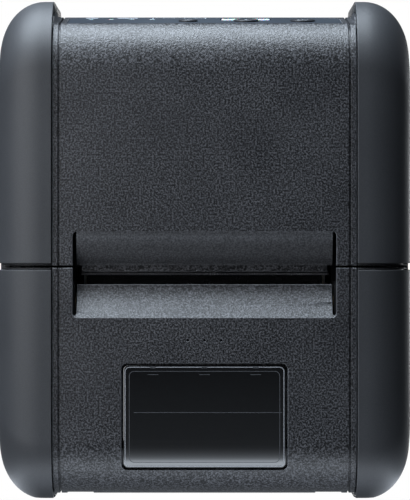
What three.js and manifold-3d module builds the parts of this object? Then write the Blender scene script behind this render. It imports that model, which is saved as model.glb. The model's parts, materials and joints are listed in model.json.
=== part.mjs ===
// Mobile receipt printer for 58 mm paper: upper half with the print head, battery and
// operation panel, lower front half as the hinged roll cover that carries the platen.
// Millimetres, +Z up, front towards -Y, origin on the ground under the middle.

import * as THREE from 'three';
import { mergeVertices } from 'three/addons/utils/BufferGeometryUtils.js';
import Module from 'manifold-3d';

const wasm = await Module();
wasm.setup();

// Driving dimensions

const body = { height: 121.6, beforeRoll: 6, behindRoll: 15 };
const paper = { width: 58, rollDiameter: 38 };

const fit = 0.3;          // gap between pieces that touch
const running = 0.15;     // radial gap of a shaft in its bore
const overrun = 2;        // how far a cutter runs past what it cuts

const guard = {           // rubber bumpers over both ends
  width: 13.2,
  wall: 2.4,
  flatRun: 2.2,           // level run beside the flank before the crown starts
  crownRise: 13,          // how far top and bottom draw in towards the side
  crownDepth: 9,          // the same at front and back
  frontTopRadius: 17,
  frontBottomRadius: 15,
  backRadius: 10,
  radiusLossShare: 0.3,   // share of the corner radius that the crown takes away
  seamGap: 0.6,
  lipDepth: 0.7,
  lipGap: 1.6,
};

const core = {            // plastic housing between the bumpers
  setback: 0.8,
  topDrop: 2.7,
  lift: 1.5,
  wall: 2.2,
  bottomRadius: 14,
  backRadius: 8,
  shoulderDepth: 6,
  shoulderRise: 11.6,
  shoulderPullShare: 0.3, // how high the shoulder keeps close to the front face
  grooveInset: 1.8,       // from the flank
  grooveWidth: 0.5,
  grooveDepth: 0.5,
};

const panel = { run: 24.7, rise: 3.3, thick: 1, margin: 1.2, chamfer: 4 };

// Places that follow the roll, the front face, the seam and the paper's edge

const underRoll = 6;
const aboveRoll = 12.8;
const pastPaper = {       // sideways, from the paper's edge
  strapInner: -2, earInner: -1.4, caseScrew: 0, head: 0.2, keyPost: 0.4, platen: 0.5, earOuter: 1.7,
  bay: 2, recess: 2.7, panel: 4.3, strapOuter: 4.5,
};
const behindFront = {
  tearEdge: 4.5, scoop: 5.3, lip: 5.5, carrierEar: 7.5, platen: 10.5, strapFront: 11.3, drain: 12.2,
  hinge: 15, lever: 16.5, carrier: 16.8, cover: 17.5, chassis: 17.9, strapBack: 18, lug: 19.3,
  ports: 20.1, board: 24.3, split: 33.5, battery: 36.5,
};
const fromSeam = {        // upwards
  window: -23.2, carrierLow: -20.8, pinhole: -17.7, carrierHigh: -17.2, recessLow: -12.3, head: -12.2,
  platen: -9.3, caseScrew: -8.8, flex: -6.8, leverArm: -6.4, lip: -4.3, carrierTop: -3.6, tearBar: -1.8,
  headWall: 0.2, flexBend: 1.2, tower: 6.7, leverPad: 8.2, recessHigh: 8.5, battery: 9.2, board: 13.2,
  contacts: 16.2,
};
const underTop = { board: 9.5, battery: 10.5 };
const behindRollAxis = 16.5;   // back edge of the inner frame
const flankGap = 0.35;         // from the gears to the bumper's flank
const fromSide = { leverArm: 7.2, portBoard: 7.5 };

const depth = body.beforeRoll + paper.rollDiameter + body.behindRoll;
const front = -depth / 2;
const back = depth / 2;
const midHeight = body.height / 2;
const paperHalf = paper.width / 2;
const rollRadius = paper.rollDiameter / 2;
const bay = {
  halfWidth: paperHalf + pastPaper.bay, wall: 2, rollY: front + body.beforeRoll + rollRadius,
  rollZ: underRoll + rollRadius, clearance: 0.6, cradleWall: 1.4,
};
const seam = {
  height: bay.rollZ + rollRadius + aboveRoll, gap: 0.6, coverY: front + behindFront.cover,
  splitY: front + behindFront.split,
};
const hinge = {
  y: front + behindFront.hinge, z: 4.4, pinRadius: 1.2, knuckleRadius: 2.4, lift: 0.4, swingGap: 0.5,
};
const gear = {
  module: 0.8, pressureAngle: 20, addendumShare: 0.85, dedendumShare: 1.2, backlash: 0.3,
  width: 3, flankSteps: 1, platenTeeth: 14, idlerTeeth: 18, pinionTeeth: 10,
  idlerAngle: -2.2, pinionAngle: 45, pinRadius: 1, pinHeadRadius: 1.9, pinHeadThick: 0.6,
  standoff: 0.45,
};

// Derived places

const chassisX = bay.halfWidth + bay.wall;    // outer face of the side plates
const gearX = [chassisX + gear.standoff, chassisX + gear.standoff + gear.width];
const flankX = gearX[1] + flankGap;
const halfWidth = flankX + guard.width;
const coreX = flankX - fit;
const coreFront = front + core.setback;
const coreBack = back - core.setback;
const coreTop = body.height - core.topDrop;
const coreBottom = core.lift;
const shellFront = coreFront + core.wall;     // inner face of the front wall
const shellBack = coreBack - core.wall;
const panelHalf = paperHalf + pastPaper.panel;
const panelFrontY = coreFront + core.shoulderDepth;
const panelFrontZ = coreTop - panel.rise;
const panelSlope = Math.atan2(panel.rise, panel.run);
const panelLength = Math.hypot(panel.rise, panel.run);
const podInset = guard.wall + fit;            // housing under the bumpers
const podHollowInset = podInset + core.wall;
const podInnerX = halfWidth - podHollowInset;
const cradleInner = rollRadius + bay.clearance;
const cradleOuter = cradleInner + bay.cradleWall;

// Counts of facets

const cornerSteps = 4;
const crownSteps = 5;      // on the skin
const hiddenSteps = 3;     // on what lies under it
const rodSides = 14;
const finePinSides = 8;
const stepsPerTurn = 5;    // of a spring's wire
const wireSides = 4;
const rollerSides = 24;
const bigRodSides = 28;

// Solids

const mergeDistance = 1e-5;

function toSolid(geometry) {
  const plain = geometry.index ? geometry.toNonIndexed() : geometry.clone();
  plain.deleteAttribute('normal');
  plain.deleteAttribute('uv');
  const merged = mergeVertices(plain, mergeDistance);
  return new wasm.Manifold(new wasm.Mesh({
    numProp: 3,
    vertProperties: new Float32Array(merged.attributes.position.array),
    triVerts: new Uint32Array(merged.index.array),
  }));
}

function toGeometry(solid) {
  const mesh = solid.getMesh();
  const geometry = new THREE.BufferGeometry();
  geometry.setAttribute('position', new THREE.BufferAttribute(mesh.vertProperties, 3));
  geometry.setIndex(new THREE.BufferAttribute(mesh.triVerts, 1));
  const faceted = geometry.toNonIndexed();
  faceted.computeVertexNormals();
  return faceted;
}

function join(...solids) {
  return solids.reduce((whole, piece) => whole.add(piece));
}

function cut(solid, ...tools) {
  return tools.reduce((rest, tool) => rest.subtract(tool), solid);
}

function block([x0, x1], [y0, y1], [z0, z1]) {
  const geometry = new THREE.BoxGeometry(x1 - x0, y1 - y0, z1 - z0);
  return toSolid(geometry.translate((x0 + x1) / 2, (y0 + y1) / 2, (z0 + z1) / 2));
}

const axisBases = {
  x: [new THREE.Vector3(0, 1, 0), new THREE.Vector3(0, 0, 1), new THREE.Vector3(1, 0, 0)],
  y: [new THREE.Vector3(1, 0, 0), new THREE.Vector3(0, 0, 1), new THREE.Vector3(0, -1, 0)],
  z: [new THREE.Vector3(1, 0, 0), new THREE.Vector3(0, 1, 0), new THREE.Vector3(0, 0, 1)],
};

// A prism of an outline in the plane across the axis: (y, z), (x, z) or (x, y) points.
function prism(axis, points, low, high) {
  const geometry = new THREE.ExtrudeGeometry(new THREE.Shape(points),
    { depth: high - low, bevelEnabled: false });
  geometry.applyMatrix4(new THREE.Matrix4().makeBasis(...axisBases[axis]));
  const start = new THREE.Vector3().copy(axisBases[axis][2]).multiplyScalar(axis === 'y' ? -high : low);
  return toSolid(geometry.translate(start.x, start.y, start.z));
}

function circle(u, v, radius, sides = rodSides) {
  return Array.from({ length: sides }, (_, i) => {
    const angle = (i / sides) * 2 * Math.PI;
    return new THREE.Vector2(u + radius * Math.cos(angle), v + radius * Math.sin(angle));
  });
}

function rod(axis, [u, v], radius, low, high, sides = rodSides) {
  return prism(axis, circle(u, v, radius, sides), low, high);
}

function tube(axis, centre, outer, inner, low, high, sides = rodSides) {
  return cut(rod(axis, centre, outer, low, high, sides),
    rod(axis, centre, inner, low - overrun, high + overrun, sides));
}

function points(...pairs) {
  return pairs.map(([u, v]) => new THREE.Vector2(u, v));
}

// Points of a closed path, without the doubles where its curves meet.
function closedPoints(path, divisions) {
  const list = path.getPoints(divisions);
  return list.filter((point, i) => point.distanceTo(list[(i + 1) % list.length]) > mergeDistance);
}

// Anticlockwise outline with its own radius at each corner, bottom left first.
function roundedOutline([u0, u1], [v0, v1], radii, steps = cornerSteps) {
  const [bottomLeft, bottomRight, topRight, topLeft] = radii;
  const quarter = Math.PI / 2;
  const path = new THREE.Path();
  path.moveTo(u0 + bottomLeft, v0);
  path.lineTo(u1 - bottomRight, v0);
  path.absarc(u1 - bottomRight, v0 + bottomRight, bottomRight, -quarter, 0);
  path.lineTo(u1, v1 - topRight);
  path.absarc(u1 - topRight, v1 - topRight, topRight, 0, quarter);
  path.lineTo(u0 + topLeft, v1);
  path.absarc(u0 + topLeft, v1 - topLeft, topLeft, quarter, 2 * quarter);
  path.lineTo(u0, v0 + bottomLeft);
  path.absarc(u0 + bottomLeft, v0 + bottomLeft, bottomLeft, 2 * quarter, 3 * quarter);
  return closedPoints(path, steps / 2);
}

function roundedBar(axis, uRange, vRange, radius, low, high, steps = 4) {
  return prism(axis, roundedOutline(uRange, vRange, [radius, radius, radius, radius], steps), low, high);
}

// Moves each point of an anticlockwise outline inwards by one distance.
function insetOutline(outline, distance) {
  const inward = (from, to) => new THREE.Vector2(from.y - to.y, to.x - from.x).normalize();
  return outline.map((point, i) => {
    const before = outline[(i + outline.length - 1) % outline.length];
    const after = outline[(i + 1) % outline.length];
    const first = inward(before, point);
    const second = inward(point, after);
    const mitre = first.clone().add(second).multiplyScalar(distance / (1 + first.dot(second)));
    return point.clone().add(mitre);
  });
}

// Skin over a row of rings with the same number of points, closed at both ends.
function loft(rings) {
  const count = rings[0].length;
  const positions = rings.flat().flatMap((point) => point.toArray());
  const index = [];
  for (let r = 0; r < rings.length - 1; r += 1) {
    for (let i = 0; i < count; i += 1) {
      const a = r * count + i;
      const b = r * count + ((i + 1) % count);
      index.push(a, b, b + count, a, b + count, a + count);
    }
  }
  const last = (rings.length - 1) * count;
  for (let i = 1; i < count - 1; i += 1) {
    index.push(0, i + 1, i, last, last + i, last + i + 1);
  }
  const geometry = new THREE.BufferGeometry();
  geometry.setAttribute('position', new THREE.Float32BufferAttribute(positions, 3));
  geometry.setIndex(index);
  const solid = toSolid(geometry);
  return solid.volume() > 0 ? solid : toSolid(geometry.setIndex(index.reverse()));
}

// Outer forms

function guardOutline(crown, inset) {
  const halfY = depth / 2 - guard.crownDepth * crown;
  const halfZ = midHeight - guard.crownRise * crown;
  const keep = 1 - guard.radiusLossShare * crown;
  const radii = [guard.frontBottomRadius, guard.backRadius, guard.backRadius, guard.frontTopRadius];
  const outline = roundedOutline([-halfY, halfY], [midHeight - halfZ, midHeight + halfZ],
    radii.map((radius) => radius * keep));
  return insetOutline(outline, inset);
}

// One end of the printer as a pillow: inset 0 is the bumper's skin, larger insets lie under it.
function pillow(side, inset, startX) {
  const crownRun = guard.width - guard.flatRun - inset;
  const steps = inset > 0 ? hiddenSteps : crownSteps;
  const stations = [[startX, 0]];
  for (let i = 0; i <= steps; i += 1) {
    const angle = (i / steps) * Math.PI / 2;
    stations.push([flankX + guard.flatRun + crownRun * Math.sin(angle), 1 - Math.cos(angle)]);
  }
  return loft(stations.map(([x, crown]) => guardOutline(crown, inset)
    .map((point) => new THREE.Vector3(side * x, point.x, point.y))));
}

function coreOutline() {
  const quarter = Math.PI / 2;
  const path = new THREE.Path();
  const shoulderZ = panelFrontZ - core.shoulderRise;
  path.moveTo(coreFront + core.bottomRadius, coreBottom);
  path.lineTo(coreBack - core.backRadius, coreBottom);
  path.absarc(coreBack - core.backRadius, coreBottom + core.backRadius, core.backRadius, -quarter, 0);
  path.lineTo(coreBack, coreTop - core.backRadius);
  path.absarc(coreBack - core.backRadius, coreTop - core.backRadius, core.backRadius, 0, quarter);
  path.lineTo(panelFrontY + panel.run, coreTop);
  path.lineTo(panelFrontY, panelFrontZ);
  path.quadraticCurveTo(coreFront, panelFrontZ - core.shoulderRise * core.shoulderPullShare,
    coreFront, shoulderZ);
  path.lineTo(coreFront, coreBottom + core.bottomRadius);
  path.absarc(coreFront + core.bottomRadius, coreBottom + core.bottomRadius, core.bottomRadius,
    2 * quarter, 3 * quarter);
  return closedPoints(path, cornerSteps);
}

const wholeX = [-halfWidth - overrun, halfWidth + overrun];
const sides = [-1, 1];

// A pillow under the bumper that keeps inside the housing's outline up to the limit.
function pod(side, inset, outline, startX, limitX) {
  const range = side > 0 ? [limitX, halfWidth] : [-halfWidth, -limitX];
  return pillow(side, inset, startX).intersect(join(prism('x', outline, ...wholeX),
    block(range, [front - overrun, back + overrun], [-overrun, body.height + overrun])));
}

function housing() {
  const outline = coreOutline();
  const inside = insetOutline(outline, core.wall);
  const endWall = coreX - core.wall;
  const outer = join(prism('x', outline, -coreX, coreX),
    ...sides.map((side) => pod(side, podInset, outline, coreX - overrun, coreX)));
  const inner = join(prism('x', inside, -endWall, endWall),
    ...sides.map((side) => pod(side, podHollowInset, inside, endWall - overrun, coreX + core.wall)));
  return outer.subtract(inner);
}

// Grooves that set off the narrow strips beside the bumpers, all round the housing.
function stripGrooves() {
  const outline = coreOutline();
  const x = flankX - core.grooveInset;
  const bands = sides.map((side) => {
    const range = [side * x - core.grooveWidth / 2, side * x + core.grooveWidth / 2];
    const around = insetOutline(outline, -overrun);
    return cut(prism('x', around, ...range),
      prism('x', insetOutline(outline, core.grooveDepth), range[0] - overrun, range[1] + overrun));
  });
  return join(...bands);
}

// Where the housing parts

const hingeAt = [hinge.y, hinge.z];
const coverBottom = hinge.lift;
const coverKnuckle = hinge.z - coverBottom + running;
const baseHollow = coverKnuckle + hinge.swingGap;

function coverRegion(gap) {
  const reachY = front - overrun;
  return join(
    block(wholeX, [reachY, seam.coverY - gap / 2], [hinge.z, seam.height - gap / 2]),
    block(wholeX, [reachY, hinge.y], [coverBottom, hinge.z + overrun]),
    rod('x', hingeAt, coverKnuckle, ...wholeX, bigRodSides)
      .intersect(block(wholeX, [hinge.y - overrun, seam.coverY + overrun], [coverBottom, hinge.z + overrun])),
  );
}

function belowSeamRegion(gap, top) {
  const kept = block(wholeX, [seam.coverY + gap / 2, back + overrun], [-overrun, top]);
  return cut(kept,
    block(wholeX, [seam.coverY - overrun, hinge.y + coverKnuckle + hinge.swingGap], [-2 * overrun, hinge.z]),
    rod('x', hingeAt, baseHollow, ...wholeX, bigRodSides));
}

const seamTop = seam.height + seam.gap / 2;
const above = [seamTop, body.height + overrun];

function frontRegion() {
  return block(wholeX, [front - overrun, seam.splitY], above);
}

function rearRegion() {
  return join(
    block(wholeX, [seam.splitY + fit, back + overrun], [seam.height - overrun, body.height + overrun]),
    belowSeamRegion(seam.gap, seamTop - fit),
  );
}

// Paper exit

const recess = {
  halfWidth: paperHalf + pastPaper.recess, low: seam.height + fromSeam.recessLow,
  high: seam.height + fromSeam.recessHigh, cornerRadius: 1.1, lipY: front + behindFront.lip,
  lipZ: seam.height + fromSeam.lip, scoopY: front + behindFront.scoop,
  wall: 1.5, sideWall: 1.5, sideReach: 2.8, groove: 0.9,
};

function recessHollow() {
  const outline = points([coreFront - overrun, recess.low], [coreFront, recess.low],
    [recess.lipY, recess.lipZ], [recess.lipY, seam.height], [recess.scoopY, seamTop],
    [coreFront, recess.high], [coreFront - overrun, recess.high]);
  const mouth = roundedBar('y', [-recess.halfWidth, recess.halfWidth], [recess.low, recess.high],
    recess.cornerRadius, front - overrun, recess.lipY + overrun + recess.wall);
  const grooves = cut(block([-recess.halfWidth, recess.halfWidth],
    [coreFront - overrun, recess.scoopY + recess.wall], [seamTop, recess.high]),
    block([recess.groove - recess.halfWidth, recess.halfWidth - recess.groove], [front - overrun, back],
      [0, body.height]));
  return join(prism('x', outline, -recess.halfWidth, recess.halfWidth), grooves).intersect(mouth);
}

// A sloped wall behind the recess, between two points of its profile.
function slopedWall([y0, z0], [y1, z1], reach) {
  const length = Math.hypot(y1 - y0, z1 - z0);
  const shift = [(z1 - z0) / length * recess.wall, -(y1 - y0) / length * recess.wall];
  const side = Math.sign(shift[0]);
  const outline = points([y0, z0], [y1, z1],
    [y1 + side * shift[0], z1 + side * shift[1]], [y0 + side * shift[0], z0 + side * shift[1]]);
  return prism('x', outline, -reach, reach);
}

function recessSides(zRange) {
  return sides.map((side) => {
    const edges = [side * recess.halfWidth, side * (recess.halfWidth + recess.sideWall)];
    return block([Math.min(...edges), Math.max(...edges)],
      [coreFront + core.wall / 2, shellFront + recess.sideReach], zRange);
  });
}

// Latch, ports, battery and window places

const lever = {
  y: front + behindFront.lever, padZ: seam.height + fromSeam.leverPad, padWide: 8, padTall: 10,
  sunk: 0.2, travel: 4, stemWide: 4, stemTall: 6, armX: halfWidth - fromSide.leverArm, armThick: 1.6,
  armWide: 6, armLow: seam.height + fromSeam.leverArm,
  noseReach: 2.4, noseTall: 2, catchThick: 2, springRadius: 1.5, springWire: 0.3, springTurns: 4,
  springLength: 7.5, ledge: 1.5,
};
const board = {
  y: front + behindFront.board, thick: 1.6, halfWidth: bay.halfWidth, low: seam.height + fromSeam.board,
  high: coreTop - underTop.board, portReach: halfWidth - fromSide.portBoard, postRadius: 2.2,
  postInset: 4, screwRadius: 0.8, screwReach: 5, headRadius: 1.8, headThick: 1,
};
const boardToPort = 2.5;
const usb = { wide: 3.4, tall: 9, deep: 7, wall: 0.4, tongue: 0.7 };
const jack = { radius: 3.9, bore: 2.8, pin: 0.9, deep: 8 };
const boardMiddle = (board.low + board.high) / 2;
const ports = {
  y: front + behindFront.ports, z: boardMiddle - boardToPort, wide: 13,
  overUsb: 1.5, between: 2.6, underJack: 1.1, cornerRadius: 1.6, flapThick: 2,
  bezelBorder: 1.6, bezelThick: 1.6, stubRadius: 0.5, stubLength: 1.2,
};
const battery = {
  halfWidth: bay.halfWidth, low: seam.height + fromSeam.battery, high: coreTop - underTop.battery,
  front: front + behindFront.battery, clearance: 0.4, trayWall: 1.5, cornerRadius: 2.5,
  gripDepth: 0.7, gripWidth: 1.4, gripPitch: 3, grips: 4, gripHalfWidth: 12,
  notchHalfWidth: 5, notchDeep: 2,
};
const latch = { halfWidth: 8, tall: 6, travel: 2.5, thick: 1.2, noseHalfWidth: 4, noseTall: 1.6,
  springRadius: 1.1, springWire: 0.25, springTurns: 4, springLength: 6.5, ledge: 1.4 };
const glass = {
  halfWidth: 20, low: 7.8, high: seam.height + fromSeam.window, cornerRadius: 1.4, thick: 1.1,
  gap: 0.45, border: 3, tabWidth: 4.8, tabThick: 0.8, tabCatch: 1.2,
};
const topTabXs = [-12.4, 0, 12.3];
const bottomTabXs = [-12.4, 12.3];
const pinhole = { z: seam.height + fromSeam.pinhole, pitch: 4, radius: 0.35 };
const strapSlot = {
  inner: paperHalf + pastPaper.strapInner, outer: paperHalf + pastPaper.strapOuter,
  front: front + behindFront.strapFront, back: front + behindFront.strapBack,
};
const drain = { x: 16.2, y: front + behindFront.drain, radius: 0.65 };
const clip = { x: 13, z: 33, insertRadius: 2.4, boreRadius: 1.5, length: 5, padHalfWidth: 19, padTall: 26,
  padDepth: 0.6, padRadius: 3 };
const caseScrew = {
  x: paperHalf + pastPaper.caseScrew, lowZ: 14, headRadius: 2.3, shankRadius: 1.1, headThick: 1.2,
  length: 9, seatDepth: 1.5,
};
const caseScrewZs = [caseScrew.lowZ, seam.height + fromSeam.caseScrew];

// Rollers, gears and motor places

const platen = {
  y: front + behindFront.platen, z: seam.height + fromSeam.platen, radius: 5,
  halfLength: paperHalf + pastPaper.platen, shaftRadius: 2, bushRadius: 3,
  bushFlange: 0.9, bushFlangeRadius: 3.9,
};
const motor = { radius: 7, length: 16, flangeThick: 1, earReach: 11, earWidth: 4.4, earRadius: 2.1,
  shaftRadius: 0.75, shaftHole: 2.2, screwRadius: 0.8, screwHeadRadius: 1.5, screwHeadThick: 0.9 };

const radians = Math.PI / 180;
const pitchRadius = (teeth) => (gear.module * teeth) / 2;
const gearTip = (teeth) => pitchRadius(teeth) + gear.addendumShare * gear.module;
const platenAt = [platen.y, platen.z];
const stepFrom = ([y, z], angle, distance) => [
  y + distance * Math.cos(angle * radians), z + distance * Math.sin(angle * radians)];
const idlerAt = stepFrom(platenAt, gear.idlerAngle,
  pitchRadius(gear.platenTeeth) + pitchRadius(gear.idlerTeeth));
const pinionAt = stepFrom(idlerAt, gear.pinionAngle,
  pitchRadius(gear.idlerTeeth) + pitchRadius(gear.pinionTeeth));
const earHoleAt = (side) => stepFrom(pinionAt, 0, side * (motor.earReach - motor.earWidth / 2));

// Involute outline of a spur gear with one tooth at the phase angle.
function gearOutline([u, v], teeth, phase) {
  const pressure = gear.pressureAngle * radians;
  const pitch = pitchRadius(teeth);
  const base = pitch * Math.cos(pressure);
  const tip = gearTip(teeth);
  const root = pitch - gear.dedendumShare * gear.module;
  const involute = (angle) => Math.tan(angle) - angle;
  const halfTooth = Math.PI / (2 * teeth) - gear.backlash / (2 * pitch) + involute(pressure);
  const halfAt = (radius) => halfTooth - involute(Math.acos(Math.min(1, base / radius)));
  const start = Math.max(base, root);
  const flank = Array.from({ length: gear.flankSteps + 1 },
    (_, i) => start + (tip - start) * i / gear.flankSteps);
  const profile = [root, ...flank].map((radius) => [radius, halfAt(Math.max(radius, start))]);
  const outline = [];
  for (let k = 0; k < teeth; k += 1) {
    const centre = phase + (k / teeth) * 2 * Math.PI;
    const tooth = [...profile.map(([radius, half]) => [radius, centre - half]),
      ...profile.toReversed().map(([radius, half]) => [radius, centre + half])];
    outline.push(...tooth.map(([radius, angle]) => new THREE.Vector2(
      u + radius * Math.cos(angle), v + radius * Math.sin(angle))));
  }
  return outline;
}

// Phase of a gear that meshes with another one lying in the given direction from it.
function meshedPhase(phase, direction, teeth, otherTeeth) {
  return direction + Math.PI + Math.PI / otherTeeth - (phase - direction) * teeth / otherTeeth;
}

const platenPhase = gear.idlerAngle * radians;
const idlerPhase = meshedPhase(platenPhase, gear.idlerAngle * radians, gear.platenTeeth, gear.idlerTeeth);
const pinionPhase = meshedPhase(idlerPhase, gear.pinionAngle * radians, gear.idlerTeeth, gear.pinionTeeth);

function spurGear(at, teeth, phase, boreRadius) {
  return cut(prism('x', gearOutline(at, teeth, phase), ...gearX),
    rod('x', at, boreRadius + running, gearX[0] - overrun, gearX[1] + overrun, rodSides));
}

// Guards

function guardShell(side) {
  return cut(pillow(side, 0, flankX), pillow(side, guard.wall, flankX - overrun));
}

// Stepped lips along the seams, as deep as lipDepth into the skin.
function seamLips(side) {
  const half = guard.lipGap / 2;
  const slot = join(
    block(wholeX, [front - overrun, seam.coverY + half], [seam.height - half, seam.height + half]),
    block(wholeX, [seam.coverY - half, seam.coverY + half], [-overrun, seam.height]),
  );
  return cut(slot, pillow(side, guard.lipDepth, flankX - overrun));
}

function sideWindow(side, uRange, vRange, radius) {
  return roundedBar('x', uRange, vRange, radius,
    ...mirrored(side, [podInnerX - overrun, halfWidth + overrun]));
}

const grow = ([low, high], by) => [low - by, high + by];
const about = (middle, width) => [middle - width / 2, middle + width / 2];
const mirrored = (side, [low, high]) => (side > 0 ? [low, high] : [-high, -low]);
const raised = ([low, high], by) => [low, high + by];
const padSlot = [grow(about(lever.y, lever.padWide), fit),
  raised(grow(about(lever.padZ, lever.padTall), fit), lever.travel)];
const stemSlot = [grow(about(lever.y, lever.stemWide), fit),
  raised(grow(about(lever.padZ, lever.stemTall), fit), lever.travel)];
const portY = about(ports.y, ports.wide);
const portZ = about(ports.z, ports.overUsb + usb.tall + ports.between + 2 * jack.radius + ports.underJack);
const usbZ = portZ[1] - ports.overUsb - usb.tall / 2;
const jackZ = portZ[0] + ports.underJack + jack.radius;
const flapX = [halfWidth - guard.wall + running, halfWidth - guard.wall + running + ports.flapThick];
const flapAxis = [(flapX[0] + flapX[1]) / 2, portY[1] - ports.flapThick / 2];
const flapStubs = (gap) => rod('z', flapAxis, ports.stubRadius + gap,
  ...grow(portZ, ports.stubLength + gap), finePinSides);

function baseGuard(side) {
  const region = join(
    block(wholeX, [front - overrun, back + overrun],
      [seam.height + guard.seamGap / 2, body.height + overrun]),
    belowSeamRegion(guard.seamGap, seam.height + overrun),
  );
  const shell = cut(guardShell(side), seamLips(side)).intersect(region);
  return shell.subtract(side < 0
    ? sideWindow(side, ...padSlot, ports.cornerRadius)
    : join(sideWindow(side, grow(portY, fit), grow(portZ, fit), ports.cornerRadius), flapStubs(running)));
}

function coverGuard(side) {
  return cut(guardShell(side), seamLips(side)).intersect(coverRegion(guard.seamGap));
}

// Operation panel, in the plane of the slope: x across, y up the slope, z out of it

const keys = {
  y: 8, radius: 3, smallRadius: 2.3, proud: 0.5, travel: 0.6, flange: 0.7, flangeThick: 0.5,
  switchTall: 0.8, switchHalf: 1.6, boardThick: 1, boardFront: 3.5, boardBack: 19.5,
  boardHalfWidth: bay.halfWidth, postX: paperHalf + pastPaper.keyPost, postRadius: 1.4,
  guideThick: 0.6, guideTall: 2, lightRadius: 0.7,
  powerInset: 9.3, feedX: 10.2, wirelessX: -4, lightInset: 5.3, lightPitch: 5,
};
const keyList = [['power_button', panelHalf - keys.powerInset, keys.radius],
  ['feed_button', keys.feedX, keys.radius], ['wireless_button', keys.wirelessX, keys.smallRadius]];
const lightXs = [0, 1, 2, 3].map((i) => keys.lightInset - panelHalf + i * keys.lightPitch);
const statusWindow = { left: 4, wide: 12.3, low: 13.5, tall: 6, radius: 0.8 };
const statusX = [statusWindow.left, statusWindow.left + statusWindow.wide];
const statusY = [statusWindow.low, statusWindow.low + statusWindow.tall];
const lightY = statusWindow.low + statusWindow.tall / 2;
const ceiling = -core.wall;                                  // inner face of the housing's top
const keyBottom = ceiling - keys.flangeThick;
const switchTop = keyBottom - keys.travel - running;
const boardTop = switchTop - keys.switchTall;
const panelSeat = new THREE.Matrix4().makeRotationX(panelSlope)
  .setPosition(new THREE.Vector3(0, panelFrontY, panelFrontZ));

function onPanel(solid) {
  return toSolid(toGeometry(solid).applyMatrix4(panelSeat));
}

function panelOutline(gap) {
  const x = panelHalf + gap;
  const low = panel.margin - gap;
  const high = panelLength - panel.margin + gap;
  return points([-x, low], [x, low], [x, high - panel.chamfer], [x - panel.chamfer, high],
    [panel.chamfer - x, high], [-x, high - panel.chamfer]);
}

function panelHoles(gap) {
  const low = ceiling - overrun;
  const high = overrun;
  return join(
    ...keyList.map(([, x, radius]) => rod('z', [x, keys.y], radius + gap, low, high)),
    ...lightXs.map((x) => rod('z', [x, lightY], keys.lightRadius + gap, low, high, finePinSides)),
    roundedBar('z', grow(statusX, gap), grow(statusY, gap), statusWindow.radius, low, high),
  );
}

// Housing

const armTop = lever.padZ + lever.stemTall / 2;
const shell = housing().subtract(stripGrooves());

function trayBox(extra, yRange, zExtra) {
  return block([-battery.halfWidth - extra, battery.halfWidth + extra], yRange,
    [battery.low - zExtra, battery.high + zExtra]);
}

const trayOuter = battery.clearance + battery.trayWall;
const contacts = { halfWidth: 8, low: seam.height + fromSeam.contacts, tall: 6 };
const boardPosts = [board.low + board.postInset, board.high - board.postInset].flatMap((z) =>
  sides.map((side) => [side * (board.halfWidth - board.postInset), z]));

function frontShell() {
  const posts = boardPosts.map(([x, z]) => cut(
    rod('y', [x, z], board.postRadius, shellFront - core.wall / 2, board.y - fit, finePinSides),
    rod('y', [x, z], board.screwRadius + running, board.y - board.screwReach, overrun, finePinSides)));
  const lip = block([-platen.halfLength, platen.halfLength],
    [recess.scoopY, recess.scoopY + tearBar.lipDepth],
    [tearBar.z + tearBar.thick / 2 + fit, seamTop + recess.wall]);
  const springLedge = block(mirrored(-1, [lever.armX - lever.armThick, podInnerX + core.wall / 2]),
    about(lever.y, lever.armWide), [armTop + lever.springLength, armTop + lever.springLength + lever.ledge]);
  const keyPosts = sides.map((side) => onPanel(rod('z', [side * keys.postX, keys.y], keys.postRadius,
    boardTop + fit, ceiling / 2 - panel.thick / 2, finePinSides)));
  return cut(
    join(
      cut(shell.intersect(frontRegion()), recessHollow()),
      slopedWall([coreFront, recess.high], [recess.scoopY, seamTop], recess.halfWidth - recess.groove)
        .intersect(frontRegion()),
      ...recessSides([seamTop, recess.high]), lip, springLedge, ...posts, ...keyPosts,
    ),
    onPanel(prism('z', panelOutline(running), -panel.thick - running, overrun)),
    onPanel(panelHoles(fit)),
    sideWindow(-1, ...stemSlot, fit),
    sideWindow(1, grow(portY, fit - ports.bezelBorder), grow(portZ, fit), fit),
  );
}

const latchTop = battery.low - trayOuter - fit - running;
const latchZ = [latchTop - latch.tall, latchTop];
const latchFace = coreBack - 2 * running;
const latchSpringAt = [0, shellBack - fit - latch.springRadius - latch.springWire];
const latchFoot = latchZ[0] + latch.noseTall;

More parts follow.
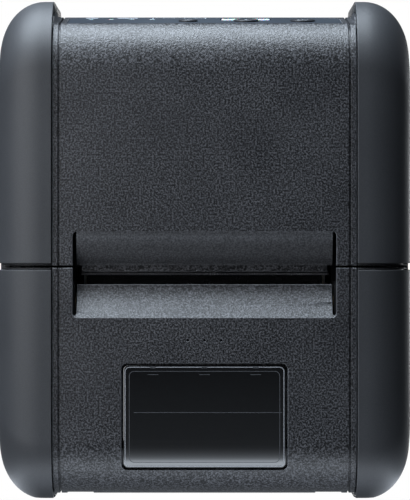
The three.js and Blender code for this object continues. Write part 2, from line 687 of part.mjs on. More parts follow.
function rearShell() {
  const tray = cut(
    trayBox(trayOuter, [battery.front - trayOuter, shellBack + core.wall / 2], trayOuter),
    trayBox(battery.clearance, [battery.front - battery.clearance, back + overrun], battery.clearance));
  const insertBosses = sides.map((side) => rod('y', [side * clip.x, clip.z],
    clip.insertRadius + core.wall / 2, coreBack - clip.length - fit, shellBack + core.wall / 2));
  const springLedge = block([-latch.noseHalfWidth, latch.noseHalfWidth],
    [shellBack - 2 * latch.springRadius - 2 * fit, shellBack + core.wall / 2],
    [latchFoot - latch.springLength - latch.ledge, latchFoot - latch.springLength]);
  const whole = join(shell, tray, springLedge, ...insertBosses).intersect(rearRegion());
  const latchWay = join(
    block([-latch.halfWidth - fit, latch.halfWidth + fit],
      [latchFace - latch.thick - fit, back + overrun], [latchZ[0] - latch.travel - fit, latchZ[1] + fit]),
    block([-latch.noseHalfWidth - fit, latch.noseHalfWidth + fit], [shellBack - overrun, back + overrun],
      [latchFoot - latch.travel - fit, latchZ[1] + fit - latch.noseTall / 2]),
    block([-latch.noseHalfWidth - fit, latch.noseHalfWidth + fit],
      [shellBack - latch.thick - 2 * fit, shellBack], [latchZ[1] - overrun, battery.low]),
  );
  const screwWays = sides.flatMap((side) => caseScrewZs.map((z) => join(
    rod('y', [side * caseScrew.x, z], caseScrew.headRadius + fit,
      coreBack - caseScrew.seatDepth, back + overrun),
    rod('y', [side * caseScrew.x, z], caseScrew.shankRadius + running, shellBack - overrun, back + overrun,
      finePinSides))));
  const clipPad = roundedBar('y', [-clip.padHalfWidth, clip.padHalfWidth], about(clip.z, clip.padTall),
    clip.padRadius, coreBack - clip.padDepth, back + overrun);
  const insertWays = sides.map((side) => rod('y', [side * clip.x, clip.z], clip.insertRadius + running,
    coreBack - clip.length - 2 * overrun, back + overrun));
  const contactWay = block(grow([-contacts.halfWidth, contacts.halfWidth], fit),
    [battery.front - trayOuter - overrun, battery.front],
    grow([contacts.low, contacts.low + contacts.tall], fit));
  return cut(whole,
    trayBox(battery.clearance, [battery.front - battery.clearance, back + overrun], battery.clearance),
    latchWay, ...screwWays, clipPad, ...insertWays, contactWay);
}

function strapSlots() {
  return sides.map((side) => block(mirrored(side, [strapSlot.inner, strapSlot.outer]),
    [strapSlot.front, strapSlot.back + 2 * overrun],
    [-overrun, hinge.z + hinge.knuckleRadius + fit]));
}

// What lies between two depths under the housing's skin.
function skinLayer(outer, inner) {
  const outline = coreOutline();
  return cut(prism('x', insetOutline(outline, outer), -bay.halfWidth, bay.halfWidth),
    prism('x', insetOutline(outline, inner), ...wholeX));
}

function windowBar(inset) {
  const x = glass.halfWidth - inset;
  return roundedBar('y', [-x, x], [glass.low + inset, glass.high - inset], glass.cornerRadius,
    front - overrun, hinge.y);
}

function windowHollow() {
  return join(
    windowBar(0).intersect(skinLayer(-overrun, glass.thick + fit)),
    windowBar(glass.border).intersect(skinLayer(-overrun, core.wall + overrun)),
  );
}

function coverShell() {
  const low = [recess.low, seam.height - seam.gap / 2];
  const catchRib = block(mirrored(-1, [lever.armX - lever.armThick, podInnerX + core.wall / 2]),
    [lever.y - lever.armWide / 2 + fit, lever.y - lever.armWide / 2 + fit + lever.catchThick],
    [lever.armLow - 2 * lever.catchThick, lever.armLow - fit]);
  const pinholes = sides.concat(0).map((step) => rod('y', [step * pinhole.pitch, pinhole.z],
    pinhole.radius, front, shellFront + overrun, finePinSides));
  const drains = sides.map((side) => rod('z', [side * drain.x, drain.y], drain.radius,
    -overrun, coreBottom + core.wall + overrun, finePinSides));
  return cut(
    join(
      cut(shell.intersect(coverRegion(seam.gap)), recessHollow()),
      slopedWall([coreFront, recess.low], [recess.lipY, recess.lipZ], recess.halfWidth - recess.groove),
      ...recessSides(low), catchRib,
    ),
    windowHollow(), ...pinholes, ...drains, ...strapSlots(),
    rod('x', platenAt, gearTip(gear.platenTeeth) + 2 * fit, gearX[0] - fit, gearX[1] + 2 * fit, bigRodSides),
  );
}

// Pane with hooks that reach through the opening and catch behind the cover's wall.
function rollWindow() {
  const hookBack = core.wall + fit + glass.tabThick;
  const stemLayer = skinLayer(glass.thick / 2, hookBack);
  const catchLayer = skinLayer(core.wall + fit, hookBack);
  const hook = (x, edge, direction) => {
    const across = about(x, glass.tabWidth);
    const level = (...heights) => block(across, [front, hinge.y],
      [Math.min(...heights), Math.max(...heights)]);
    const low = edge - direction * (fit + glass.tabThick);
    return join(
      stemLayer.intersect(level(low, edge - direction * fit)),
      catchLayer.intersect(level(low, edge + direction * glass.tabCatch)),
    );
  };
  return join(
    windowBar(glass.gap).intersect(skinLayer(running / 2, glass.thick)),
    ...topTabXs.map((x) => hook(x, glass.high - glass.border, 1)),
    ...bottomTabXs.map((x) => hook(x, glass.low + glass.border, -1)),
  );
}

// Inner frame

const head = { halfLength: paperHalf + pastPaper.head, low: seam.height + fromSeam.head, tall: 10.8,
  thick: 0.8, sinkThick: 2, sinkTall: 12,
  springInset: 9.2, springRise: 3.4, springRadius: 1.7, springWire: 0.35, springTurns: 3, springSpace: 3.2,
  wallThick: 1.2, wallTop: seam.height + fromSeam.headWall };
const tearBar = { z: seam.height + fromSeam.tearBar, thick: 0.6, front: front + behindFront.tearEdge,
  lipDepth: 2.6, legTall: 5, teeth: 24, toothDeep: 0.8 };
const chassis = {
  front: front + behindFront.chassis, back: bay.rollY + behindRollAxis,
  towerTop: seam.height + fromSeam.tower,
  bottom: 4, bossRadius: 2.6, lugBack: front + behindFront.lug,
};
const carrier = {
  barLow: seam.height + fromSeam.carrierLow, barHigh: seam.height + fromSeam.carrierHigh, barThick: 1.6,
  footThick: 2, back: front + behindFront.carrier, top: seam.height + fromSeam.carrierTop, rim: 1.3,
  earInner: paperHalf + pastPaper.earInner, earOuter: paperHalf + pastPaper.earOuter,
  earFront: front + behindFront.carrierEar,
};

const flangeX = [bay.halfWidth - fit - motor.flangeThick, bay.halfWidth - fit];
const headFront = platen.y + platen.radius + fit;
const sinkFront = headFront + head.thick + fit;
const sinkBack = sinkFront + head.sinkThick;
const springWall = sinkBack + head.springSpace;
const inBay = [-bay.halfWidth - bay.wall / 2, bay.halfWidth + bay.wall / 2];

function chassisFrame() {
  const cradle = cut(rod('x', [bay.rollY, bay.rollZ], cradleOuter, ...inBay, bigRodSides),
    rod('x', [bay.rollY, bay.rollZ], cradleInner, ...wholeX, bigRodSides),
    block(wholeX, [front, springWall], [head.low - fit, body.height]),
    rod('x', hingeAt, baseHollow, ...wholeX, bigRodSides))
    .intersect(block(inBay, [chassis.front, back], [0, midHeight]));
  const springBacking = block([inBay[0], flangeX[0] - motor.screwHeadThick - 2 * fit],
    [springWall, springWall + head.wallThick], [bay.rollZ + cradleInner, head.wallTop]);
  const plates = sides.map((side) => {
    const range = mirrored(side, [bay.halfWidth, chassisX]);
    const bosses = [[chassis.back - 2 * running - bay.wall, caseScrewZs[1]],
      [chassis.back + core.wall / 2, caseScrewZs[0]]].map(([start, z]) => cut(
      rod('y', [side * caseScrew.x, z], chassis.bossRadius, start, shellBack - fit, finePinSides),
      rod('y', [side * caseScrew.x, z], caseScrew.shankRadius, start + bay.wall, back, finePinSides)));
    return join(
      rod('x', [bay.rollY, bay.rollZ], cradleOuter, ...range, bigRodSides)
        .intersect(block(wholeX, [chassis.front, back], [0, body.height])),
      block(range, [chassis.front, bay.rollY], [chassis.bottom, bay.rollZ]),
      block(range, [chassis.front, chassis.back], [bay.rollZ, chassis.towerTop]),
      block(range, [hinge.y, chassis.lugBack], about(hinge.z, 2 * hinge.knuckleRadius)),
      rod('x', hingeAt, hinge.knuckleRadius, ...range),
      ...bosses,
    );
  });
  return cut(join(cradle, springBacking, ...plates),
    rod('x', hingeAt, hinge.pinRadius + running, ...wholeX, finePinSides),
    rod('x', idlerAt, gear.pinRadius + running, 0, halfWidth, finePinSides),
    rod('x', pinionAt, motor.shaftHole, 0, halfWidth),
    ...sides.map((side) => rod('x', earHoleAt(side), motor.screwRadius + running, 0, halfWidth,
      finePinSides)));
}

function platenCarrier() {
  const innerX = bay.halfWidth + fit;
  const wallFront = shellFront + fit;
  const nose = platen.y - platen.bushRadius - carrier.rim;
  const cheekOutline = points([wallFront, hinge.z], [wallFront, carrier.barHigh], [nose, recess.low - fit],
    [nose, carrier.top - carrier.rim], [nose + carrier.rim, carrier.top],
    [carrier.back, carrier.top], [carrier.back, hinge.z + hinge.knuckleRadius + 2 * fit],
    [hinge.y - hinge.knuckleRadius - fit, hinge.z + hinge.knuckleRadius + 2 * fit],
    [hinge.y - hinge.knuckleRadius - 2 * fit, hinge.z]);
  const earZ = [hinge.z, hinge.z + hinge.knuckleRadius];
  const cheeks = sides.map((side) => {
    const range = mirrored(side, [innerX, chassisX]);
    return join(
      prism('x', cheekOutline, ...range),
      block(mirrored(side, [carrier.earInner, chassisX]),
        [carrier.earFront, hinge.y - hinge.knuckleRadius - 2 * fit], earZ),
    );
  });
  const ears = sides.map((side) => {
    const range = mirrored(side, [carrier.earInner, carrier.earOuter]);
    return join(rod('x', hingeAt, hinge.knuckleRadius, ...range),
      block(range, [hinge.y - hinge.knuckleRadius - 3 * fit, hinge.y], earZ));
  });
  const bars = [
    block([-chassisX, chassisX], [wallFront, wallFront + carrier.barThick],
      [carrier.barLow, carrier.barHigh]),
    block([-carrier.earInner - fit, carrier.earInner + fit],
      [carrier.earFront, carrier.earFront + carrier.footThick], earZ),
  ];
  const inside = prism('x', insetOutline(coreOutline(), core.wall + fit), ...wholeX);
  return cut(join(join(...cheeks, ...bars).intersect(inside), ...ears),
    rod('x', platenAt, platen.bushRadius + running, ...wholeX),
    rod('x', hingeAt, hinge.pinRadius + running, ...wholeX, finePinSides));
}

// A helical spring along the named axis, wound as one wire.
function coilSpring(axis, [u, v], radius, wire, turns, low, high) {
  const [across, up, along] = axisBases[axis];
  const spots = Array.from({ length: turns * stepsPerTurn + 1 }, (_, i) => {
    const share = i / (turns * stepsPerTurn);
    const angle = share * turns * 2 * Math.PI;
    const place = (axis === 'y' ? -1 : 1) * (low + wire + (high - low - 2 * wire) * share);
    return new THREE.Vector3().addScaledVector(across, u + radius * Math.cos(angle))
      .addScaledVector(up, v + radius * Math.sin(angle)).addScaledVector(along, place);
  });
  const section = circle(0, 0, wire, wireSides);
  return toSolid(new THREE.ExtrudeGeometry(new THREE.Shape(section), {
    steps: turns * stepsPerTurn, bevelEnabled: false, extrudePath: new THREE.CatmullRomCurve3(spots),
  }));
}

function tearBlade() {
  const length = 2 * platen.halfLength + 2 * fit;
  const pitch = length / tearBar.teeth;
  const edge = [];
  for (let i = 0; i < tearBar.teeth; i += 1) {
    const x = i * pitch - length / 2;
    edge.push([x, tearBar.front + tearBar.toothDeep], [x + pitch / 2, tearBar.front]);
  }
  const legY = recess.scoopY + tearBar.lipDepth + fit;
  const outline = points(...edge, [length / 2, tearBar.front + tearBar.toothDeep],
    [length / 2, legY + tearBar.thick], [-length / 2, legY + tearBar.thick]);
  return join(prism('z', outline, ...about(tearBar.z, tearBar.thick)),
    block([-length / 2, length / 2], [legY, legY + tearBar.thick],
      [tearBar.z - tearBar.thick / 2, tearBar.z + tearBar.legTall]));
}

const materials = {
  rubber: { color: 0x2b2c30, roughness: 0.62, metalness: 0 },
  shell: { color: 0x2a2b2f, roughness: 0.7, metalness: 0 },
  inner: { color: 0x1d1e21, roughness: 0.6, metalness: 0 },
  panel: { color: 0x6d7883, roughness: 0.45, metalness: 0 },
  key: { color: 0x3a3d43, roughness: 0.5, metalness: 0 },
  light: { color: 0xf2f4f5, roughness: 0.3, metalness: 0 },
  glass: { color: 0x0c0d10, roughness: 0.08, metalness: 0 },
  steel: { color: 0xa9adb2, roughness: 0.35, metalness: 1 },
  aluminium: { color: 0xb4b7ba, roughness: 0.4, metalness: 1 },
  brass: { color: 0xb99550, roughness: 0.35, metalness: 1 },
  platen: { color: 0x1b1b1d, roughness: 0.8, metalness: 0 },
  gear: { color: 0xd9d6cc, roughness: 0.5, metalness: 0 },
  board: { color: 0x1f5a3a, roughness: 0.5, metalness: 0 },
  ceramic: { color: 0xcfcac0, roughness: 0.3, metalness: 0 },
  cell: { color: 0x242528, roughness: 0.55, metalness: 0 },
  film: { color: 0xb8742a, roughness: 0.45, metalness: 0 },
};

const printer = new THREE.Group();

function add(name, solid, finish, group = printer) {
  const mesh = new THREE.Mesh(toGeometry(solid), new THREE.MeshStandardMaterial(materials[finish]));
  mesh.name = name;
  group.add(mesh);
}

// Fixed half

add('guard_left', baseGuard(-1), 'rubber');
add('guard_right', baseGuard(1), 'rubber');
add('front_shell', frontShell(), 'shell');
add('rear_shell', rearShell(), 'shell');
add('chassis', chassisFrame(), 'inner');

const panelGroup = new THREE.Group();
panelGroup.rotation.x = panelSlope;
panelGroup.position.set(0, panelFrontY, panelFrontZ);
printer.add(panelGroup);

add('operation_panel', cut(prism('z', panelOutline(0), -panel.thick, 0), panelHoles(running)),
  'panel', panelGroup);
for (const [name, x, radius] of keyList) {
  add(name, join(
    rod('z', [x, keys.y], radius, keyBottom, keys.proud),
    rod('z', [x, keys.y], radius + keys.flange, keyBottom, keyBottom + keys.flangeThick - running),
  ), 'key', panelGroup);
}
add('status_window', roundedBar('z', grow(statusX, -running), grow(statusY, -running),
  statusWindow.radius, ceiling, 0), 'light', panelGroup);
add('light_guide', join(
  roundedBar('z', grow([lightXs[0], lightXs[lightXs.length - 1]], keys.guideTall / 2),
    about(lightY, keys.guideTall), keys.guideThick / 2, boardTop + fit, boardTop + fit + keys.guideThick),
  ...lightXs.map((x) => rod('z', [x, lightY], keys.lightRadius, boardTop + fit, 0, finePinSides)),
), 'light', panelGroup);
add('key_board', join(
  block([-keys.boardHalfWidth, keys.boardHalfWidth], [keys.boardFront, keys.boardBack],
    [boardTop - keys.boardThick, boardTop]),
  ...keyList.map(([, x]) => block(about(x, 2 * keys.switchHalf), about(keys.y, 2 * keys.switchHalf),
    [boardTop - keys.boardThick / 2, switchTop])),
), 'board', panelGroup);

add('tear_bar', tearBlade(), 'steel');
add('print_head', block([-head.halfLength, head.halfLength], [headFront, headFront + head.thick],
  [head.low, head.low + head.tall]), 'ceramic');
add('head_mount', block([-head.halfLength - fit, head.halfLength + fit], [sinkFront, sinkBack],
  [head.low, head.low + head.sinkTall]), 'aluminium');
for (const [name, side] of [['head_spring_left', -1], ['head_spring_right', 1]]) {
  const springAt = [side * (head.halfLength - head.springInset), platen.z + head.springRise];
  add(name, coilSpring('y', springAt, head.springRadius,
    head.springWire, head.springTurns, sinkBack + running, springWall - running), 'steel');
}

// Drive

add('step_motor', cut(
  join(
    rod('x', pinionAt, motor.radius, flangeX[1] - motor.length, flangeX[1], bigRodSides),
    roundedBar('x', about(pinionAt[0], 2 * motor.earReach), about(pinionAt[1], motor.earWidth),
      motor.earRadius, ...flangeX),
  ),
  ...sides.map((side) => rod('x', earHoleAt(side), motor.screwRadius + running,
    flangeX[0] - overrun, flangeX[1] + overrun, finePinSides)),
), 'steel');
add('motor_shaft', rod('x', pinionAt, motor.shaftRadius, flangeX[1] + running, gearX[1] + fit,
  finePinSides), 'steel');
add('motor_pinion', spurGear(pinionAt, gear.pinionTeeth, pinionPhase, motor.shaftRadius), 'brass');
add('idler_gear', spurGear(idlerAt, gear.idlerTeeth, idlerPhase, gear.pinRadius), 'gear');
add('idler_pin', join(
  rod('x', idlerAt, gear.pinRadius, bay.halfWidth + running, gearX[1] + fit, finePinSides),
  rod('x', idlerAt, gear.pinHeadRadius, gearX[1] + fit, gearX[1] + fit + gear.pinHeadThick, finePinSides),
), 'steel');
for (const [name, side] of [['motor_screw_front', -1], ['motor_screw_back', 1]]) {
  const seat = flangeX[0] - fit;
  add(name, join(
    rod('x', earHoleAt(side), motor.screwRadius, seat, chassisX, finePinSides),
    rod('x', earHoleAt(side), motor.screwHeadRadius, seat - motor.screwHeadThick, seat, finePinSides),
  ), 'steel');
}

// Electronics

const boardY = [board.y, board.y + board.thick];
const plug = { halfWidth: 8, tall: 4, deep: 3 };
add('main_board', cut(
  join(
    block([-board.halfWidth, board.halfWidth], boardY, [board.low, board.high]),
    block([0, board.portReach], boardY, portZ),
    block([-plug.halfWidth, plug.halfWidth], [board.y - plug.deep, board.y + board.thick / 2],
      [board.low, board.low + plug.tall]),
  ),
  ...boardPosts.map(([x, z]) => rod('y', [x, z], board.screwRadius + running,
    board.y - overrun, board.y + board.thick + overrun, finePinSides)),
), 'board');
boardPosts.forEach(([x, z], i) => {
  const seat = board.y + board.thick + fit;
  add(`board_screw_${i + 1}`, join(
    rod('y', [x, z], board.screwRadius, board.y - board.screwReach + fit, seat, finePinSides),
    rod('y', [x, z], board.headRadius, seat, seat + board.headThick, finePinSides),
  ), 'steel');
});
const radio = { inset: 7, wide: 14, tall: 14, thick: 2.2 };
add('wireless_module', block([radio.inset - board.halfWidth, radio.inset + radio.wide - board.halfWidth],
  [board.y - fit - radio.thick, board.y - fit], about(boardMiddle, radio.tall)), 'steel');
const flex = { halfWidth: 7, thick: 0.3, low: seam.height + fromSeam.flex,
  bend: seam.height + fromSeam.flexBend, gap: 0.45 };
const flexFoot = sinkBack + flex.gap;
const flexHead = board.y - plug.deep / 2;
const flexTop = board.low - fit;
add('head_flex', prism('x', points([flexFoot, flex.low], [flexFoot + flex.thick, flex.low],
  [flexFoot + flex.thick, flex.bend], [flexHead + flex.thick, flexTop], [flexHead, flexTop],
  [flexFoot, flex.bend]), -flex.halfWidth, flex.halfWidth), 'film');
add('battery_contacts', block([-contacts.halfWidth, contacts.halfWidth],
  [board.y + board.thick + fit, battery.front - battery.clearance],
  [contacts.low, contacts.low + contacts.tall]), 'inner');

const portFace = halfWidth - podInset - ports.bezelThick / 2;
const usbY = [board.y - fit - usb.wide, board.y - fit];
add('usb_socket', join(
  cut(block([portFace - usb.deep, portFace], usbY, about(usbZ, usb.tall)),
    block([portFace - usb.deep + 2 * usb.wall, portFace + overrun], grow(usbY, -usb.wall),
      about(usbZ, usb.tall - 2 * usb.wall))),
  block([portFace - usb.deep + usb.wall, portFace - usb.wall], about((usbY[0] + usbY[1]) / 2, usb.tongue),
    about(usbZ, usb.tall / 2)),
), 'steel');
const jackAt = [board.y - fit - jack.radius, jackZ];
add('dc_socket', join(
  cut(rod('x', jackAt, jack.radius, portFace - jack.deep, portFace),
    rod('x', jackAt, jack.bore, portFace - jack.deep + usb.wall * 2, portFace + overrun)),
  rod('x', jackAt, jack.pin, portFace - jack.deep + usb.wall, portFace - usb.wall, finePinSides),
), 'inner');

// Port flap

const podFaceX = halfWidth - podInset;
add('port_bezel', cut(
  roundedBar('x', grow(portY, -ports.bezelBorder), portZ, fit, podFaceX - ports.bezelThick, podFaceX),
  block([0, halfWidth], grow(usbY, fit), grow(about(usbZ, usb.tall), fit)),
  rod('x', jackAt, jack.radius + fit, 0, halfWidth),
), 'inner');
add('port_flap', join(
  roundedBar('x', [portY[0] + fit, flapAxis[1]], grow(portZ, -2 * fit), ports.cornerRadius / 2, ...flapX),
  rod('z', flapAxis, ports.flapThick / 2, ...grow(portZ, -2 * fit)),
  flapStubs(0),
), 'rubber');

// Battery

const gripZ = Array.from({ length: battery.grips }, (_, i) => battery.low + battery.gripPitch * (i + 2));
add('battery_pack', cut(
  roundedBar('y', [-battery.halfWidth, battery.halfWidth], [battery.low, battery.high], battery.cornerRadius,
    battery.front, coreBack),
  ...gripZ.map((z) => block([-battery.gripHalfWidth, battery.gripHalfWidth],
    [coreBack - battery.gripDepth, back + overrun], about(z, battery.gripWidth))),
  block([-battery.notchHalfWidth, battery.notchHalfWidth],
    [shellBack - latch.thick - 2 * fit, shellBack], [battery.low - overrun, battery.low + battery.notchDeep]),
), 'cell');
add('battery_latch', join(
  block([-latch.halfWidth, latch.halfWidth], [latchFace - latch.thick, latchFace], latchZ),
  block([-latch.noseHalfWidth, latch.noseHalfWidth],
    [shellBack - fit - latch.thick, latchFace - latch.thick / 2],
    [latchFoot, latchZ[1] - latch.noseTall / 2]),
  block([-latch.noseHalfWidth, latch.noseHalfWidth], [shellBack - fit - latch.thick, shellBack - fit],
    [latchFoot, battery.low - fit]),
), 'key');
add('latch_spring', coilSpring('z', latchSpringAt, latch.springRadius, latch.springWire, latch.springTurns,
  latchFoot - latch.springLength + fit / 2, latchFoot - fit / 2), 'steel');

// Fasteners of the back

for (const [sideName, side] of [['left', -1], ['right', 1]]) {
  add(`clip_insert_${sideName}`, tube('y', [side * clip.x, clip.z], clip.insertRadius, clip.boreRadius,
    coreBack - clip.padDepth - clip.length, coreBack - clip.padDepth - fit / 2), 'brass');
  caseScrewZs.forEach((z, i) => {
    const seat = coreBack - caseScrew.seatDepth + fit;
    add(`case_screw_${sideName}_${i + 1}`, join(
      rod('y', [side * caseScrew.x, z], caseScrew.headRadius, seat, seat + caseScrew.headThick),
      rod('y', [side * caseScrew.x, z], caseScrew.shankRadius - running, seat - caseScrew.length, seat,
        finePinSides),
    ), 'steel');
  });
  add(`hinge_pin_${sideName}`, rod('x', hingeAt, hinge.pinRadius,
    ...mirrored(side, [carrier.earInner + running, chassisX - running]), finePinSides), 'steel');
}

// Release lever

const armRange = [-lever.armX - lever.armThick / 2, -lever.armX + lever.armThick / 2];
add('lever_spring', coilSpring('z', [-lever.armX, lever.y], lever.springRadius, lever.springWire,
  lever.springTurns, armTop + fit / 2, armTop + lever.springLength - fit / 2), 'steel');
add('release_lever', join(
  roundedBar('x', about(lever.y, lever.padWide), about(lever.padZ, lever.padTall), ports.cornerRadius / 2,
    lever.sunk - halfWidth, -podFaceX - fit),
  block([lever.sunk - halfWidth, armRange[1]], about(lever.y, lever.stemWide),
    about(lever.padZ, lever.stemTall)),
  block(armRange, about(lever.y, lever.armWide), [lever.armLow, armTop]),
  block(armRange, [lever.y - lever.armWide / 2 - lever.noseReach, lever.y],
    [lever.armLow, lever.armLow + lever.noseTall]),
), 'key');

// Roll cover

add('cover_shell', coverShell(), 'shell');
add('cover_guard_left', coverGuard(-1), 'rubber');
add('cover_guard_right', coverGuard(1), 'rubber');
add('platen_carrier', platenCarrier(), 'inner');
add('roll_window', rollWindow(), 'glass');
add('platen_roller', tube('x', platenAt, platen.radius, platen.shaftRadius + running,
  -platen.halfLength, platen.halfLength, rollerSides), 'platen');
add('platen_shaft', rod('x', platenAt, platen.shaftRadius, -chassisX - fit, gearX[1] + fit), 'steel');
add('platen_gear', spurGear(platenAt, gear.platenTeeth, platenPhase, platen.shaftRadius), 'gear');
for (const [name, side] of [['platen_bush_left', -1], ['platen_bush_right', 1]]) {
  add(name, join(
    tube('x', platenAt, platen.bushRadius, platen.shaftRadius + running,
      ...mirrored(side, [bay.halfWidth - platen.bushFlange, chassisX])),
    tube('x', platenAt, platen.bushFlangeRadius, platen.shaftRadius + running,
      ...mirrored(side, [bay.halfWidth - platen.bushFlange, bay.halfWidth])),
  ), 'brass');
}

export default printer;
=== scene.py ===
import json
import math

import bmesh
import bpy
from mathutils import Matrix, Vector

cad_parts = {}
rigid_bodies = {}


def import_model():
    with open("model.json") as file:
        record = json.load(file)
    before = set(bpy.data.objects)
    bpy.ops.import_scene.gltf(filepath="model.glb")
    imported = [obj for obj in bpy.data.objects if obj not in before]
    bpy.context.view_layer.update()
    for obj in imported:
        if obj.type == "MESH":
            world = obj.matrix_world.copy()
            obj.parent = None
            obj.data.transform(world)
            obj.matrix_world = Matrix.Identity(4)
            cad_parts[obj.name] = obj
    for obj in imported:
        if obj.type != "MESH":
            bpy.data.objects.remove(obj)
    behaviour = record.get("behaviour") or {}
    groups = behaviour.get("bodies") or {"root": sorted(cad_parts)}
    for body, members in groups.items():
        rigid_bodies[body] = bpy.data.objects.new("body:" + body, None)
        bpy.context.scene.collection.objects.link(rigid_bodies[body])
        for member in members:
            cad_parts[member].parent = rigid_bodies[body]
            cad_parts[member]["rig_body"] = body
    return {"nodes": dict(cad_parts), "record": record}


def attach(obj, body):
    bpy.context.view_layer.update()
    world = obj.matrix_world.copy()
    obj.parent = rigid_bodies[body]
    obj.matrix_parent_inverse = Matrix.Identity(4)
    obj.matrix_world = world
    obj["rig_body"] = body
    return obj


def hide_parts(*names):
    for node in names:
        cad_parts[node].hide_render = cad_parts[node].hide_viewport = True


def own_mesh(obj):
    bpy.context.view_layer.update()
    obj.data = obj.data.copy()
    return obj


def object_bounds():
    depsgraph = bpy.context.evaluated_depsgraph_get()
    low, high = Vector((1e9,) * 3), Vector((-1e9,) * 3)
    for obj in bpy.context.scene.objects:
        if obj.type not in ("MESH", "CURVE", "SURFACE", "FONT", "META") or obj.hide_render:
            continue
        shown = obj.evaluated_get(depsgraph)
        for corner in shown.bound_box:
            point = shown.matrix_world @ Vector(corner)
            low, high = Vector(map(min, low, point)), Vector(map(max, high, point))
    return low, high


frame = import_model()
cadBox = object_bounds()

nodes = frame["nodes"]
xAxis, yAxis, zAxis = Vector((1, 0, 0)), Vector((0, 1, 0)), Vector((0, 0, 1))
fullTurn = 2 * math.pi
sides = (("left", -1), ("right", 1))


# Camera, light and floor

cameraView = {"distance": 0.75, "height": 0.0608, "lens": 225.2, "shift": 0.001, "near": 0.01}
studio = {
    "floorSize": 6.0, "floorColour": (0.003, 0.003, 0.003, 1), "floorRoughness": 0.9,
    "backdrop": (1.0, 1.0, 1.0, 1), "room": (0.011, 0.012, 0.014, 1),
    "foot": (0.040, 0.022, 0), "glowTint": (0.82, 0.90, 1.0, 1), "glowSpan": 0.07,
    "glow": ((0, 0.36), (0.0065, 1.5), (0.009, 2.2), (0.0115, 2.6), (0.014, 1.9), (0.017, 0.8),
             (0.020, 0.46), (0.025, 0.24), (0.035, 0.09), (0.050, 0.035), (0.07, 0.013)),
}
lamps = {
    "topLamp": {"place": (-0.30, -0.11, 0.78), "aim": (-0.30, -0.11, 0), "size": (0.85, 0.68), "power": 22,
                "colour": (0.80, 0.90, 1.0)},
    "browLamp": {"place": (-0.35, -0.75, 0.85), "aim": (0, 0, 0.10), "size": (0.7, 0.35), "power": 2.05,
                 "colour": (0.84, 0.92, 1.0)},
    "leftLamp": {"place": (-0.155, -0.165, 0.065), "aim": (-0.02, -0.02, 0.06), "size": (0.16, 0.30),
                 "power": 0.34, "colour": (0.96, 0.97, 1.0)},
    "rearLamp": {"place": (0, 0.90, 0.05), "aim": (0, 0, 0.05), "size": (0.5, 0.09), "power": 5,
                 "colour": (1.0, 0.99, 0.97)},
    "sideLamp": {"place": (0.66, 0.70, 0.10), "aim": (0.05, 0, 0.06), "size": (0.5, 0.16), "power": 0.9,
                 "colour": (0.90, 0.95, 1.0)},
    "rightLamp": {"place": (0.42, 0.90, 0.05), "aim": (0.04, 0, 0.05), "size": (0.3, 0.09), "power": 1.0,
                  "colour": (1.0, 1.0, 1.0)},
}

cameraData = bpy.data.cameras.new("camera")
cameraData.lens = cameraView["lens"]
cameraData.shift_x = cameraView["shift"]
cameraData.clip_start = cameraView["near"]
camera = bpy.data.objects.new("camera", cameraData)
camera.location = (0, cadBox[0].y - cameraView["distance"], cameraView["height"])
camera.rotation_euler = (math.pi / 2, 0, 0)
bpy.context.scene.collection.objects.link(camera)
bpy.context.scene.camera = camera
bpy.context.scene.view_settings.view_transform = "Standard"


def linked(bm, name):
    mesh = bpy.data.meshes.new(name)
    bm.to_mesh(mesh)
    bm.free()
    piece = bpy.data.objects.new(name, mesh)
    bpy.context.scene.collection.objects.link(piece)
    return piece


def join(tree, socket, value):
    if isinstance(value, bpy.types.NodeSocket):
        tree.links.new(value, socket)
    else:
        socket.default_value = value


def addNode(tree, kind, inputs=None, **settings):
    node = tree.nodes.new("ShaderNode" + kind)
    for name, value in settings.items():
        setattr(node, name, value)
    for name, value in (inputs or {}).items():
        join(tree, node.inputs[name], value)
    return node


def maths(tree, operation, *values, clamp=False):
    node = addNode(tree, "Math", dict(enumerate(values)), operation=operation, use_clamp=clamp)
    return node.outputs["Value"]


def vectorMaths(tree, operation, values, result="Vector"):
    return addNode(tree, "VectorMath", values, operation=operation).outputs[result]


# The camera is shown one shader, and all else is lit by the other.
def showCamera(tree, lighting, shown):
    ray = addNode(tree, "LightPath").outputs["Is Camera Ray"]
    return addNode(tree, "MixShader", {"Fac": ray, 1: lighting, 2: shown}).outputs["Shader"]


